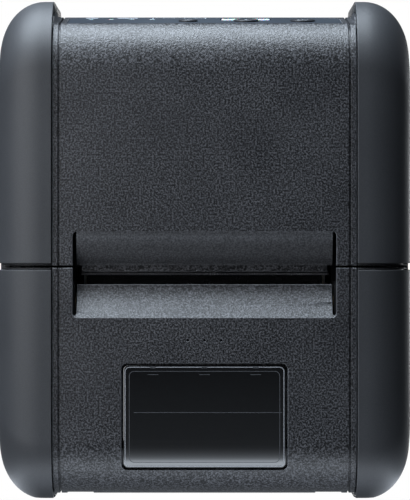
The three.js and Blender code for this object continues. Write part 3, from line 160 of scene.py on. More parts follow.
# The floor is white to the camera; to the object it glows only around its foot.
def makeFloor():
    bm = bmesh.new()
    bmesh.ops.create_grid(bm, x_segments=1, y_segments=1, size=studio["floorSize"] / 2)
    floor = linked(bm, "floor")
    material = bpy.data.materials.new("floorPaint")
    material.use_nodes = True
    tree = material.node_tree
    shader = tree.nodes["Principled BSDF"]
    place = addNode(tree, "TexCoord").outputs["Object"]
    near = vectorMaths(tree, "ABSOLUTE", {0: place})
    beyond = vectorMaths(tree, "SUBTRACT", {0: near, 1: studio["foot"]})
    away = vectorMaths(tree, "LENGTH", {0: vectorMaths(tree, "MAXIMUM", {0: beyond, 1: (0, 0, 0)})}, "Value")
    glow = addNode(tree, "FloatCurve", {"Value": maths(tree, "DIVIDE", away, studio["glowSpan"])})
    peak = max(level for _, level in studio["glow"])
    points = glow.mapping.curves[0].points
    spots = [(reach / studio["glowSpan"], level / peak) for reach, level in studio["glow"]]
    points[0].location, points[1].location = spots[0], spots[-1]
    for spot in spots[1:-1]:
        points.new(*spot)
    glow.mapping.extend = "HORIZONTAL"
    glow.mapping.update()
    for name, value in (("Base Color", studio["floorColour"]), ("Roughness", studio["floorRoughness"]),
                        ("Emission Color", studio["glowTint"]),
                        ("Emission Strength", maths(tree, "MULTIPLY", glow.outputs["Value"], peak))):
        join(tree, shader.inputs[name], value)
    backdrop = addNode(tree, "Emission", {"Color": studio["backdrop"]}).outputs["Emission"]
    finish = tree.nodes["Material Output"].inputs["Surface"]
    join(tree, finish, showCamera(tree, shader.outputs["BSDF"], backdrop))
    floor.data.materials.append(material)


def makeRoom():
    world = bpy.data.worlds.new("room")
    bpy.context.scene.world = world
    world.use_nodes = True
    tree = world.node_tree
    tree.nodes.clear()
    glow, backdrop = [addNode(tree, "Background", {"Color": studio[name]}).outputs["Background"]
                      for name in ("room", "backdrop")]
    addNode(tree, "OutputWorld", {"Surface": showCamera(tree, glow, backdrop)})


def makeLamp(name, lamp):
    light = bpy.data.lights.new(name, "AREA")
    light.shape = "RECTANGLE"
    light.size, light.size_y = lamp["size"]
    light.energy = lamp["power"]
    light.color = lamp["colour"]
    stand = bpy.data.objects.new(name, light)
    stand.location = lamp["place"]
    stand.rotation_euler = (Vector(lamp["aim"]) - stand.location).to_track_quat("-Z", "Y").to_euler()
    stand.visible_camera = False
    bpy.context.scene.collection.objects.link(stand)


makeFloor()
makeRoom()
for lampName, lamp in lamps.items():
    makeLamp(lampName, lamp)
print("studio ready:", len(lamps), "lamps")


# Materials: moulded, ground, turned and printed surfaces in Object coordinates

def mixColours(tree, factor, first, second):
    mix = addNode(tree, "Mix", {"Factor": factor}, data_type="RGBA")
    for socket, value in ((mix.inputs[6], first), (mix.inputs[7], second)):  # its colour sockets
        join(tree, socket, value if isinstance(value, bpy.types.NodeSocket) else (*value, 1))
    return mix.outputs[2]


def noise(tree, place, scale, kind):
    return addNode(tree, "TexNoise", {"Vector": place, "Scale": scale, "Detail": kind["detail"],
                                      "Roughness": kind["roughness"]}).outputs["Fac"]


def spread(tree, value, start, end, low=0.0, high=1.0):
    return addNode(tree, "MapRange", {"Value": value, "From Min": start, "From Max": end, "To Min": low,
                                      "To Max": high}).outputs["Result"]


patterns = {"mottle": {"detail": 3.0, "roughness": 0.5}, "grain": {"detail": 2.0, "roughness": 0.6},
            "mottleSpan": (0.3, 0.7), "wearHighlightFrom": 0.97, "wearHighlightTo": 0.84, "edgeSamples": 6}


def surface(name, look):
    material = bpy.data.materials.new(name)
    material.use_nodes = True
    tree = material.node_tree
    shader = tree.nodes["Principled BSDF"]
    place = addNode(tree, "TexCoord").outputs["Object"]
    stretched = addNode(tree, "Mapping", {"Vector": place, "Scale": look["stretch"]}).outputs["Vector"]
    mottle = noise(tree, place, look["mottle"], patterns["mottle"])
    grain = noise(tree, stretched, look["grain"], patterns["grain"])
    tone = mixColours(tree, spread(tree, grain, *look["speckle"]), look["dark"], look["light"])
    shade = spread(tree, mottle, *patterns["mottleSpan"], 1 - look["cloud"], 1 + look["cloud"])
    tone = vectorMaths(tree, "SCALE", {0: tone, "Scale": shade})
    bump = addNode(tree, "Bump", {"Height": grain, "Strength": look["bump"], "Distance": look["height"]})
    if "edge" in look:  # rounded where the surface turns over, and a lighter colour there that is partly wear and partly a painted highlight
        bevel = addNode(tree, "Bevel", {"Radius": look["edge"]}, samples=patterns["edgeSamples"])
        rounded = bevel.outputs["Normal"]
        join(tree, bump.inputs["Normal"], rounded)
        plain = addNode(tree, "NewGeometry").outputs["Normal"]
        turn = vectorMaths(tree, "DOT_PRODUCT", {0: rounded, 1: plain}, "Value")
        wearHighlight = spread(tree, turn, patterns["wearHighlightFrom"], patterns["wearHighlightTo"])
        if "groove" in look:  # the painted edge highlight is kept out of a narrow groove, which stays dark inside
            across = maths(tree, "ABSOLUTE", addNode(tree, "SeparateXYZ", {"Vector": place}).outputs["X"])
            wearHighlight = maths(tree, "SUBTRACT", wearHighlight, maths(tree, "COMPARE", across, *look["groove"]), clamp=True)
        # painted highlight: the lighter edge colour is mixed in along every edge the bevel finds, standing
        # partly for wear
        tone = mixColours(tree, wearHighlight, tone, look["edgeTone"])
    rough = spread(tree, mottle, *patterns["mottleSpan"], look["rough"] - look["spread"],
                   look["rough"] + look["spread"])
    for socket, value in {"Base Color": tone, "Roughness": rough, "Normal": bump.outputs["Normal"],
                          **look["fixed"]}.items():
        join(tree, shader.inputs[socket], value)
    return material


# What a look leaves out is as in the plain look.
plainLook = {
    "speckle": (0.35, 0.65), "cloud": 0.05, "mottle": 200, "grain": 2600, "spread": 0.06,
    "bump": 0.15, "height": 0.00002, "stretch": (1, 1, 1), "fixed": {},
}
looks = {
    "bumperRubber": {"dark": (0.031, 0.0325, 0.036), "light": (0.045, 0.047, 0.052), "mottle": 45,
        "grain": 5200, "rough": 0.51, "spread": 0.03, "bump": 0.35, "height": 0.00003, "edge": 0.0003,
        "edgeTone": (0.115, 0.120, 0.130), "fixed": {"Specular IOR Level": 0.46}},
    # its light specks are painted glints off the grain, far lighter than the black plastic itself, on top of
    # the grain's own tone
    "sparkPlastic": {"dark": (0.003, 0.0031, 0.0040), "light": (0.098, 0.100, 0.110),
        "speckle": (0.43, 0.65), "cloud": 0.10, "mottle": 90, "grain": 2300, "rough": 0.40, "spread": 0.05,
        "bump": 0.8, "height": 0.00014, "edge": 0.00032, "edgeTone": (0.21, 0.22, 0.24),
        "groove": (0.0347, 0.0007)},
    # a lighter copy of the housing plastic for the exit's upper wall, which faces down: painted light
    "scoopPaintedLightPlastic": {"dark": (0.040, 0.0415, 0.046), "light": (0.120, 0.124, 0.135), "speckle": (0.38, 0.66),
        "cloud": 0.06, "mottle": 90, "rough": 0.48, "spread": 0.04, "bump": 0.2},
    "innerPlastic": {"dark": (0.006, 0.006, 0.007), "light": (0.018, 0.018, 0.020), "speckle": (0.40, 0.65),
        "cloud": 0.15, "mottle": 120, "grain": 3200, "rough": 0.50, "spread": 0.08, "bump": 0.3,
        "height": 0.00003, "edge": 0.00018, "edgeTone": (0.035, 0.036, 0.040)},
    "panelFilm": {"dark": (0.030, 0.038, 0.050), "light": (0.045, 0.055, 0.070), "speckle": (0.30, 0.70),
        "cloud": 0.06, "mottle": 40, "grain": 4200, "rough": 0.34, "spread": 0.05},
    "keyPlastic": {"dark": (0.014, 0.015, 0.018), "light": (0.034, 0.036, 0.042), "speckle": (0.35, 0.68),
        "cloud": 0.08, "mottle": 90, "grain": 3600, "rough": 0.42, "bump": 0.3, "height": 0.00003,
        "edge": 0.00018, "edgeTone": (0.060, 0.064, 0.072)},
    "printInk": {"dark": (0.34, 0.37, 0.41), "light": (0.46, 0.49, 0.53), "speckle": (0.30, 0.70),
        "cloud": 0.03, "mottle": 300, "grain": 6000, "rough": 0.5, "spread": 0.05, "bump": 0.1,
        "height": 0.00001},
    "lightPipe": {"dark": (0.66, 0.69, 0.72), "light": (0.82, 0.84, 0.86), "speckle": (0.25, 0.75),
        "cloud": 0.04, "mottle": 70, "grain": 2400, "rough": 0.22, "bump": 0.08,
        "fixed": {"Subsurface Weight": 0.3, "Subsurface Scale": 0.001}},
    "smokedWindow": {"dark": (0.0012, 0.0012, 0.0016), "light": (0.0022, 0.0023, 0.0028),
        "speckle": (0.3, 0.7), "cloud": 0.15, "mottle": 30, "grain": 700, "rough": 0.07, "spread": 0.02,
        "bump": 0.03, "fixed": {"IOR": 1.75, "Coat Weight": 1.0, "Coat Roughness": 0.04, "Coat IOR": 1.7}},
    # the ring just inside the lens edge has this light colour as a painted highlight of that edge
    "windowEdgeHighlight": {"dark": (0.24, 0.25, 0.27), "light": (0.34, 0.35, 0.37), "speckle": (0.3, 0.7),
        "mottle": 300, "grain": 4000, "rough": 0.25, "spread": 0.05, "bump": 0.1, "height": 0.00001},
    "windowMark": {"dark": (0.050, 0.053, 0.058), "light": (0.085, 0.088, 0.095), "speckle": (0.3, 0.7),
        "mottle": 300, "grain": 4000, "rough": 0.25, "spread": 0.05, "bump": 0.1, "height": 0.00001},
    "circuitBoard": {"dark": (0.006, 0.060, 0.030), "light": (0.012, 0.100, 0.048), "speckle": (0.45, 0.55),
        "cloud": 0.20, "mottle": 400, "grain": 900, "rough": 0.32, "spread": 0.08, "bump": 0.25,
        "height": 0.00003},
    "springSteel": {"dark": (0.40, 0.41, 0.43), "light": (0.60, 0.61, 0.63), "cloud": 0.06, "grain": 900,
        "stretch": (0.06, 1, 1), "rough": 0.28, "spread": 0.08, "fixed": {"Metallic": 1.0}},
    "groundSteel": {"dark": (0.16, 0.16, 0.17), "light": (0.24, 0.24, 0.25), "cloud": 0.06, "grain": 900,
        "stretch": (0.06, 1, 1), "rough": 0.45, "fixed": {"Metallic": 1.0}},
    "sinteredBronze": {"dark": (0.10, 0.07, 0.04), "light": (0.17, 0.12, 0.07), "cloud": 0.1, "mottle": 300,
        "grain": 3000, "rough": 0.5, "spread": 0.08, "bump": 0.3, "height": 0.00003,
        "fixed": {"Metallic": 1.0}},
    "platedSteel": {"dark": (0.34, 0.35, 0.37), "light": (0.50, 0.51, 0.53), "cloud": 0.08, "mottle": 260,
        "rough": 0.30, "spread": 0.08, "edge": 0.0001, "edgeTone": (0.62, 0.63, 0.65),
        "fixed": {"Metallic": 1.0}},
    "blackScrew": {"dark": (0.020, 0.020, 0.022), "light": (0.055, 0.055, 0.058), "speckle": (0.40, 0.60),
        "cloud": 0.1, "mottle": 500, "grain": 3000, "rough": 0.34, "spread": 0.10, "bump": 0.2,
        "edge": 0.0001, "edgeTone": (0.20, 0.20, 0.21), "fixed": {"Metallic": 0.8}},
    "headCeramic": {"dark": (0.48, 0.45, 0.38), "light": (0.62, 0.58, 0.50), "mottle": 150, "grain": 2500,
        "rough": 0.24, "bump": 0.1},
    "heaterGlaze": {"dark": (0.050, 0.036, 0.024), "light": (0.10, 0.075, 0.05), "speckle": (0.4, 0.6),
        "mottle": 300, "grain": 5000, "rough": 0.12, "spread": 0.03, "bump": 0.05, "height": 0.00001},
    "driverCoat": {"dark": (0.006, 0.006, 0.007), "light": (0.014, 0.014, 0.015), "speckle": (0.4, 0.6),
        "cloud": 0.2, "grain": 1400, "rough": 0.2, "bump": 0.3, "height": 0.00006},
    "sinkAluminium": {"dark": (0.50, 0.51, 0.52), "light": (0.64, 0.65, 0.66), "mottle": 80, "grain": 1400,
        "stretch": (0.05, 1, 1), "rough": 0.34, "spread": 0.07, "bump": 0.25, "height": 0.00003,
        "edge": 0.00015, "edgeTone": (0.75, 0.76, 0.77), "fixed": {"Metallic": 1.0}},
    "turnedBrass": {"dark": (0.50, 0.35, 0.14), "light": (0.68, 0.50, 0.22), "cloud": 0.06, "grain": 1800,
        "rough": 0.28, "spread": 0.08, "edge": 0.0001, "edgeTone": (0.80, 0.62, 0.32),
        "fixed": {"Metallic": 1.0}},
    "gearAcetal": {"dark": (0.60, 0.58, 0.51), "light": (0.74, 0.72, 0.65), "speckle": (0.30, 0.70),
        "cloud": 0.04, "mottle": 120, "rough": 0.40, "edge": 0.0001, "edgeTone": (0.80, 0.78, 0.72),
        "fixed": {"Subsurface Weight": 0.1, "Subsurface Scale": 0.0015}},
    "platenRubber": {"dark": (0.008, 0.008, 0.009), "light": (0.020, 0.020, 0.021), "speckle": (0.40, 0.62),
        "cloud": 0.08, "grain": 3800, "rough": 0.70, "bump": 0.4, "height": 0.00003},
    "flexFilm": {"dark": (0.30, 0.14, 0.025), "light": (0.46, 0.24, 0.05), "mottle": 120, "grain": 700,
        "stretch": (1, 0.05, 0.05), "rough": 0.24, "bump": 0.1},
}
finishes = {name: surface(name, {**plainLook, **look}) for name, look in looks.items()}
print("materials ready:", len(finishes))


# Helpers for the pieces

weldDistance = 1e-6
cutDistance = weldDistance / 10
smoothing = {"angle": math.radians(35), "skin": math.radians(24), "blade": math.radians(20),
             "flat": math.radians(0.4)}


def closedShape(bm, name):
    bmesh.ops.recalc_face_normals(bm, faces=bm.faces)
    return linked(bm, name)


def bodyOf(node):
    return nodes[node]["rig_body"]


def slotOf(node):
    return next(row["material_slot"] for row in frame["record"]["subparts"] if row["node"] == node)


def dress(piece, body, finish, slotName, standsFor=(), smoothAngle=smoothing["angle"], even=True):
    mesh = piece.data
    if mesh.materials:  # on an empty list, clearing would only forget which faces are the scoop
        mesh.materials.clear()
    mesh.materials.append(finishes[finish])
    mesh.shade_smooth()
    mesh.set_sharp_from_angle(angle=smoothAngle)
    if even:
        piece.modifiers.new("even", "WEIGHTED_NORMAL").keep_sharp = True
    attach(piece, body)
    if standsFor:
        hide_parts(*standsFor)
    return piece


def addPiece(bm, name, body, finish, slotName, **form):
    bmesh.ops.remove_doubles(bm, verts=bm.verts, dist=weldDistance)
    return dress(closedShape(bm, name), body, finish, slotName, **form)


# A piece shown instead of a solid, on its body.
def standIn(bm, name, finish, node, **form):
    return addPiece(bm, name, bodyOf(node), finish, slotOf(node), standsFor=[node], **form)


def settle(piece):
    graph = bpy.context.evaluated_depsgraph_get()
    mesh = bpy.data.meshes.new_from_object(piece.evaluated_get(graph))
    piece.modifiers.clear()
    piece.data = mesh


def carve(piece, cutters, operation="DIFFERENCE"):
    for cutter in cutters:
        trim = piece.modifiers.new("trim", "BOOLEAN")
        trim.operation = operation
        trim.object = cutter
        trim.solver = "EXACT"


def discard(pieces):
    for piece in pieces:
        bpy.data.objects.remove(piece)


def middleOf(span):
    return (span[0] + span[1]) / 2


def halfOf(span):
    return (span[1] - span[0]) / 2


# Faces pushed along a move; gives the new vertices and the new faces.
def extrude(bm, faces, move, keep=False):
    made = bmesh.ops.extrude_face_region(bm, geom=faces, use_keep_orig=keep)["geom"]
    verts = [item for item in made if isinstance(item, bmesh.types.BMVert)]
    bmesh.ops.translate(bm, verts=verts, vec=move)
    return verts, [item for item in made if isinstance(item, bmesh.types.BMFace)]


def soften(bm, geom, offset, steps, kind):
    return bmesh.ops.bevel(bm, geom=geom, offset=offset, segments=steps, profile=0.5, affect=kind,
                           clamp_overlap=False, material=-1)


def roundedFace(bm, centre, across, up, halfWidth, halfTall, radius, steps=6):
    corners = [(-1, -1), (1, -1), (1, 1), (-1, 1)]
    verts = [bm.verts.new(centre + across * halfWidth * u + up * halfTall * v) for u, v in corners]
    bm.faces.new(verts)
    around = set(verts)
    if radius:
        around = set(soften(bm, verts, radius, steps, "VERTICES")["verts"])
    return next(face for face in bm.faces if set(face.verts) <= around)


# A flat plate with round corners: its face at the centre, its thickness behind it.
def roundedPlate(bm, centre, across, up, halfWidth, halfTall, radius, thick, steps=6, edge=0, edgeSteps=2):
    face = roundedFace(bm, centre, across, up, halfWidth, halfTall, radius, steps)
    extrude(bm, [face], -across.cross(up) * thick)
    if edge:
        soften(bm, face.edges[:], edge, edgeSteps, "EDGES")


# The same, facing forwards, from its two sides and from its foot and top.
def frontPlate(bm, y, wide, tall, radius, thick, **form):
    centre = Vector((middleOf(wide), y, middleOf(tall)))
    roundedPlate(bm, centre, xAxis, zAxis, halfOf(wide), halfOf(tall), radius, thick, **form)


def lathe(bm, profile, axis, centre, steps):
    side = axis.orthogonal().normalized()
    verts = [bm.verts.new(centre + axis * along + side * radius) for along, radius in profile]
    edges = [bm.edges.new(pair) for pair in zip(verts, verts[1:])]
    bmesh.ops.spin(bm, geom=verts + edges, cent=centre, axis=axis, angle=fullTurn, steps=steps,
                   use_merge=True)
    bmesh.ops.remove_doubles(bm, verts=bm.verts, dist=weldDistance)


# Outline of a shouldered round bar, with a small chamfer at each end of each step.
def barProfile(steps, chamfer, bore=0):
    profile = [(steps[0][0], bore)]
    for start, end, radius in steps:
        profile += [(start, radius - chamfer), (start + chamfer, radius),
                    (end - chamfer, radius), (end, radius - chamfer)]
    profile.append((steps[-1][1], bore))
    if bore:
        profile.append(profile[0])
    return profile


# Round wire wound about an axis: a ring of points spun while it moves along.
def coil(bm, start, axis, radius, wire, turns, length, turnSteps=28, wireSides=8):
    side = axis.orthogonal().normalized()
    tangent = axis.cross(side)
    spot = start + side * radius + axis * wire
    ring = bmesh.ops.create_circle(bm, cap_ends=False, radius=wire, segments=wireSides)["verts"]
    turned = Matrix((side, axis, tangent)).transposed().to_4x4()
    bmesh.ops.transform(bm, matrix=Matrix.Translation(spot) @ turned, verts=ring)
    edges = list({edge for vert in ring for edge in vert.link_edges})
    steps = turns * turnSteps
    bmesh.ops.spin(bm, geom=ring + edges, cent=start, axis=axis, dvec=axis * ((length - 2 * wire) / steps),
                   angle=turns * fullTurn, steps=steps, use_merge=False)
    bmesh.ops.remove_doubles(bm, verts=bm.verts, dist=weldDistance)
    bmesh.ops.holes_fill(bm, edges=[edge for edge in bm.edges if edge.is_boundary], sides=wireSides)


# Bumpers: a rounded side plate pulled out into a crown, then given a wall and cut at the seams

bumper = {
    "insideX": 0.0368, "outsideX": 0.05, "flatRun": 0.0022, "depth": 0.059, "height": 0.1216,
    "crownDepth": 0.009, "crownRise": 0.013, "frontBottom": 0.015, "frontTop": 0.017, "back": 0.010,
    "cornerSteps": 12, "crownSteps": 16, "wall": 0.0024, "edgeRadius": 0.00012, "edgeSteps": 2,
    "edgeAngle": math.radians(42), "far": 0.04, "reach": 0.08,
    "upperLow": 0.0571, "upperFront": -0.0117, "knuckleTop": 0.0082, "footFront": -0.00985, "footTop": 0.0052,
    "coverHigh": 0.0565, "coverBack": -0.0123, "coverLow": 0.0004, "knuckleBack": -0.0104,
    "knuckleLedge": 0.0052, "knuckleRadius": 0.0039,
    "lipDepth": 0.0009, "lipLow": 0.0560, "lipHigh": 0.0576, "lipFront": -0.0128, "lipBack": -0.0112,
    "creaseWide": 0.00028, "creaseDepth": 0.0017,
    "left": {"y": (-0.0173, -0.0087), "z": (0.0597, 0.0743), "radius": 0.0016},
    "right": {"y": (-0.0162, -0.0026), "z": (0.0759, 0.0985), "radius": 0.0016},
    "slotSteps": 5,
}


def sidePlate(bm, x, yRange, zRange, radii, steps):
    corners = [(yRange[0], zRange[0]), (yRange[1], zRange[0]), (yRange[1], zRange[1]), (yRange[0], zRange[1])]
    verts = [bm.verts.new((x, y, z)) for y, z in corners]
    bm.faces.new(verts)
    for vert, radius in zip(verts, radii):
        soften(bm, [vert], radius, steps, "VERTICES")
    return bm.faces[:]


def pull(bm, faces, move, keep=False):
    ring, ends = extrude(bm, faces, move, keep)
    if not keep:
        bmesh.ops.delete(bm, geom=[face for face in faces if face.is_valid], context="FACES_ONLY")
    return ring, ends


def bumperSkin(side, inset=0.0, closed=False):
    bm = bmesh.new()
    radii = [bumper[corner] - inset for corner in ("frontBottom", "back", "back", "frontTop")]
    depth, height = bumper["depth"] - 2 * inset, bumper["height"] - 2 * inset
    start = bumper["insideX"] - (bumper["wall"] if closed else 0)
    faces = sidePlate(bm, side * start, (-depth / 2, depth / 2), (inset, inset + height), radii,
                      bumper["cornerSteps"])
    flat = bumper["insideX"] + bumper["flatRun"] - start
    ring, faces = pull(bm, faces, xAxis * side * flat, closed)
    crownRun = bumper["outsideX"] - bumper["insideX"] - bumper["flatRun"] - inset
    lastRun, lastY, lastZ = 0, depth / 2, height / 2
    around = Matrix.Translation((0, 0, -bumper["height"] / 2))
    for step in range(1, bumper["crownSteps"] + 1):
        angle = step / bumper["crownSteps"] * math.pi / 2
        run, fall = crownRun * math.sin(angle), 1 - math.cos(angle)
        halfY = depth / 2 - bumper["crownDepth"] * fall
        halfZ = height / 2 - bumper["crownRise"] * fall
        ring, faces = pull(bm, faces, xAxis * side * (run - lastRun))
        bmesh.ops.scale(bm, verts=ring, vec=(1, halfY / lastY, halfZ / lastZ), space=around)
        lastRun, lastY, lastZ = run, halfY, halfZ
    bmesh.ops.recalc_face_normals(bm, faces=bm.faces)
    if not closed and sum((face.normal.x * side for face in bm.faces), 0.0) < 0:
        bmesh.ops.reverse_faces(bm, faces=bm.faces)
    return bm


# A block right across the printer, from its outline seen from the side.
def regionCutter(name, corners, roundedCorner=None):
    bm = bmesh.new()
    verts = [bm.verts.new((-bumper["reach"], y, z)) for y, z in corners]
    bm.faces.new(verts)
    if roundedCorner is not None:
        soften(bm, [verts[roundedCorner]], bumper["knuckleRadius"], bumper["cornerSteps"], "VERTICES")
    extrude(bm, bm.faces[:], xAxis * 2 * bumper["reach"])
    return closedShape(bm, name)


def slotCutter(side, slot):
    bm = bmesh.new()
    radii = [slot["radius"]] * 4
    faces = sidePlate(bm, side * bumper["insideX"], slot["y"], slot["z"], radii, bumper["slotSteps"])
    extrude(bm, faces, xAxis * side * bumper["far"])
    return closedShape(bm, "slotCutter")


# A band across the skin, open from its face down to a depth.
def seamBand(side, depth, corners):
    band = regionCutter("seamBand", corners)
    inner = linked(bumperSkin(side, depth, True), "seamCore")
    carve(band, [inner])
    settle(band)
    discard([inner])
    return band


# The seams' lips, stepped in from the skin, and the crease at the foot of each step.
def seamCutters(side):
    front, back, far = bumper["lipFront"], bumper["lipBack"], bumper["far"]
    low, high, wide = bumper["lipLow"], bumper["lipHigh"], bumper["creaseWide"]
    lips = seamBand(side, bumper["lipDepth"],
                    [(-far, low), (front, low), (front, -far), (back, -far), (back, high), (-far, high)])
    creases = [seamBand(side, bumper["creaseDepth"],
                        [(-far, foot), (front, foot), (front, foot + wide), (-far, foot + wide)])
               for foot in (low, high - wide)]
    return lips, creases[0], creases[1]


def makeBumper(name, side, region, node, cutters):
    piece = linked(bumperSkin(side), name)
    wall = piece.modifiers.new("wall", "SOLIDIFY")
    wall.thickness = bumper["wall"]
    wall.offset = -1
    wall.use_even_offset = True
    carve(piece, [region], "INTERSECT")
    carve(piece, cutters)
    edges = piece.modifiers.new("edges", "BEVEL")
    edges.width = bumper["edgeRadius"]
    edges.segments = bumper["edgeSteps"]
    edges.limit_method = "ANGLE"
    edges.angle_limit = bumper["edgeAngle"]
    settle(piece)
    dress(piece, bodyOf(node), "bumperRubber", slotOf(node), [node], bumper["edgeAngle"])


def upperOutline():
    far, front, foot = bumper["far"], bumper["upperFront"], bumper["footFront"]
    high = bumper["height"] + far
    return [(-far, bumper["upperLow"]), (front, bumper["upperLow"]), (front, bumper["knuckleTop"]),
            (foot, bumper["footTop"]), (foot, -far), (far, -far), (far, high), (-far, high)]


def coverOutline():
    far, back, ledge = bumper["far"], bumper["coverBack"], bumper["knuckleLedge"]
    low, high = bumper["coverLow"], bumper["coverHigh"]
    return [(-far, low), (bumper["knuckleBack"], low), (bumper["knuckleBack"], ledge), (back, ledge),
            (back, high), (-far, high)]


upperRegion = regionCutter("upperRegion", upperOutline())
coverRegion = regionCutter("coverRegion", coverOutline(), 1)
seams = {sideName: seamCutters(side) for sideName, side in sides}
slots = {sideName: slotCutter(side, bumper[sideName]) for sideName, side in sides}
for sideName, side in sides:
    lips, _, crease = seams[sideName]
    makeBumper("bumper_" + sideName, side, upperRegion, "guard_" + sideName, [lips, crease, slots[sideName]])
for sideName, side in sides:
    lips, crease, _ = seams[sideName]
    makeBumper("cover_bumper_" + sideName, side, coverRegion, "cover_guard_" + sideName, [lips, crease])
discard([upperRegion, coverRegion, *slots.values(), *seams["left"], *seams["right"]])
print("bumpers ready")


# Housing: the solids' own meshes, with their curved skins cut finer and rounded out

housing = {
    "front": -0.0287, "back": 0.0287, "top": 0.1189, "bottom": 0.0015,
    "frontRadius": 0.014, "backRadius": 0.008, "arcSteps": 8,
    "panelFront": -0.0227, "panelRise": 0.0033, "shoulderRise": 0.0116, "shoulderPull": 0.3,
    "shoulderSteps": 4, "arcCuts": 3, "shoulderCuts": 5, "onSkin": 2e-6, "endShare": 0.001,
    "scoopTop": 0.0653, "scoopFoot": 0.0571, "scoopBack": -0.0242, "scoopStep": 0.00025, "scoopTurn": 2.2,
    "rampFront": 0.0445, "lipHeight": 0.0525, "lipBack": -0.0240, "rampTurn": 1.6, "recessCuts": 12,
    "grooveX": (0.0308, 0.0317), "grooveZ": (0.0451, 0.0515), "grooveDeep": 0.0016, "grooveRun": 0.0052,
    "grooveCorner": 0.00044,
}


def arcPoint(y, z, radius, start):
    def point(step):
        angle = start + step / housing["arcSteps"] * math.pi / 2
        return Vector((0, y + radius * math.cos(angle), z + radius * math.sin(angle)))
    return point


def shoulderPoint(step):
    front, top, rise = housing["front"], housing["top"] - housing["panelRise"], housing["shoulderRise"]
    start, pulled, end = [Vector((0, y, z)) for y, z in (
        (housing["panelFront"], top), (front, top - rise * housing["shoulderPull"]), (front, top - rise))]
    t = step / housing["shoulderSteps"]
    return start * (1 - t) ** 2 + pulled * 2 * t * (1 - t) + end * t ** 2


# The exit's upper side starts level with the face and turns under; its ramp lifts towards its front edge.
def scoopPoint(share):
    sink = housing["scoopStep"] * min(1.0, share * housing["recessCuts"]) * (1 - share)
    turn = (housing["scoopBack"] - housing["front"]) * share ** housing["scoopTurn"]
    fall = (housing["scoopFoot"] - housing["scoopTop"]) * share
    return Vector((0, housing["front"] + sink + turn, housing["scoopTop"] + fall))


def rampPoint(share):
    turn = (housing["lipBack"] - housing["front"]) * (1 - (1 - share) ** housing["rampTurn"])
    rise = (housing["lipHeight"] - housing["rampFront"]) * share
    return Vector((0, housing["front"] + turn, housing["rampFront"] + rise))


frontArc, backArc = housing["frontRadius"], housing["backRadius"]
cornerArcs = [
    arcPoint(housing["front"] + frontArc, housing["bottom"] + frontArc, frontArc, math.pi),
    arcPoint(housing["back"] - backArc, housing["bottom"] + backArc, backArc, 1.5 * math.pi),
    arcPoint(housing["back"] - backArc, housing["top"] - backArc, backArc, 0),
]
skinCurves = [(arc, housing["arcSteps"], housing["arcCuts"]) for arc in cornerArcs] + [
    (shoulderPoint, housing["shoulderSteps"], housing["shoulderCuts"]),
    (scoopPoint, 1, housing["recessCuts"]), (rampPoint, 1, housing["recessCuts"])]


# How far a point lies along the chord from one point of a curve to the next, or None off it.
def chordShare(co, start, end):
    along = end - start
    offset = Vector((0, co.y, co.z)) - start
    share = offset.dot(along) / along.length_squared
    off = (offset - along * share).length
    spare = housing["endShare"]
    return share if off < housing["onSkin"] and -spare < share < 1 + spare else None


def facesOnChord(bm, start, end):
    return [face for face in bm.faces
            if all(chordShare(vert.co, start, end) is not None for vert in face.verts)]


def roundOut(bm, curve, steps, cuts):
    moves = {}
    for step in range(steps):
        start, end = curve(step), curve(step + 1)
        for cut in range(1, cuts):
            faces = facesOnChord(bm, start, end)
            geom = set(faces)
            for face in faces:
                geom.update(face.edges)
                geom.update(face.verts)
            bmesh.ops.bisect_plane(bm, geom=list(geom), dist=cutDistance,
                                   plane_co=start.lerp(end, cut / cuts), plane_no=end - start)
        for vert in bm.verts:
            share = chordShare(vert.co, start, end)
            if share is not None and housing["endShare"] < share < 1 - housing["endShare"]:
                moves[vert] = curve(step + share)
    for vert, place in moves.items():
        vert.co.y, vert.co.z = place.y, place.z


# The grooves at the ends of the paper exit run on down to the corners of its ramp.
def grooveCutter(side):
    bm = bmesh.new()
    mouth, wide = housing["front"] - housing["grooveDeep"], sorted(side * x for x in housing["grooveX"])
    frontPlate(bm, mouth, wide, housing["grooveZ"], housing["grooveCorner"], housing["grooveRun"])
    return closedShape(bm, "grooveCutter")


def refined(node, name, finish, curves=(), smoothAngle=smoothing["skin"], cutters=()):
    bm = bmesh.new()
    bm.from_mesh(nodes[node].data)
    bmesh.ops.remove_doubles(bm, verts=bm.verts, dist=weldDistance)
    bmesh.ops.dissolve_limit(bm, angle_limit=smoothing["flat"], verts=bm.verts, edges=bm.edges)
    # the scoop's faces take material 1, the lighter copy of the plastic: painted light on a wall that faces
    # down into shade
    scoop = facesOnChord(bm, scoopPoint(0), scoopPoint(1)) if curves else []
    for face in scoop:
        face.material_index = 1
    for curve, steps, cuts in curves:
        roundOut(bm, curve, steps, cuts)
    piece = linked(bm, name)
    if cutters:
        carve(piece, cutters)
        settle(piece)
    dress(piece, bodyOf(node), finish, slotOf(node), [node], smoothAngle)
    if scoop:
        piece.data.materials.append(finishes["scoopPaintedLightPlastic"])


refined("front_shell", "front_housing", "sparkPlastic", skinCurves)
refined("rear_shell", "rear_housing", "sparkPlastic", skinCurves)
grooves = [grooveCutter(side) for _, side in sides]
refined("cover_shell", "roll_cover", "sparkPlastic", skinCurves, cutters=grooves)
discard(grooves)
smallShapes = {
    "battery_pack": ("battery_case", "sparkPlastic"), "chassis": ("inner_frame", "innerPlastic"),
    "platen_carrier": ("roller_carrier", "innerPlastic"), "battery_latch": ("battery_catch", "keyPlastic"),
    "port_bezel": ("port_surround", "innerPlastic"), "step_motor": ("motor_can", "platedSteel"),
    "idler_gear": ("middle_gear", "gearAcetal"), "platen_gear": ("roller_gear", "gearAcetal"),
    "motor_pinion": ("brass_pinion", "turnedBrass"),
}
for node, (name, finish) in smallShapes.items():
    refined(node, name, finish)
print("housing ready")
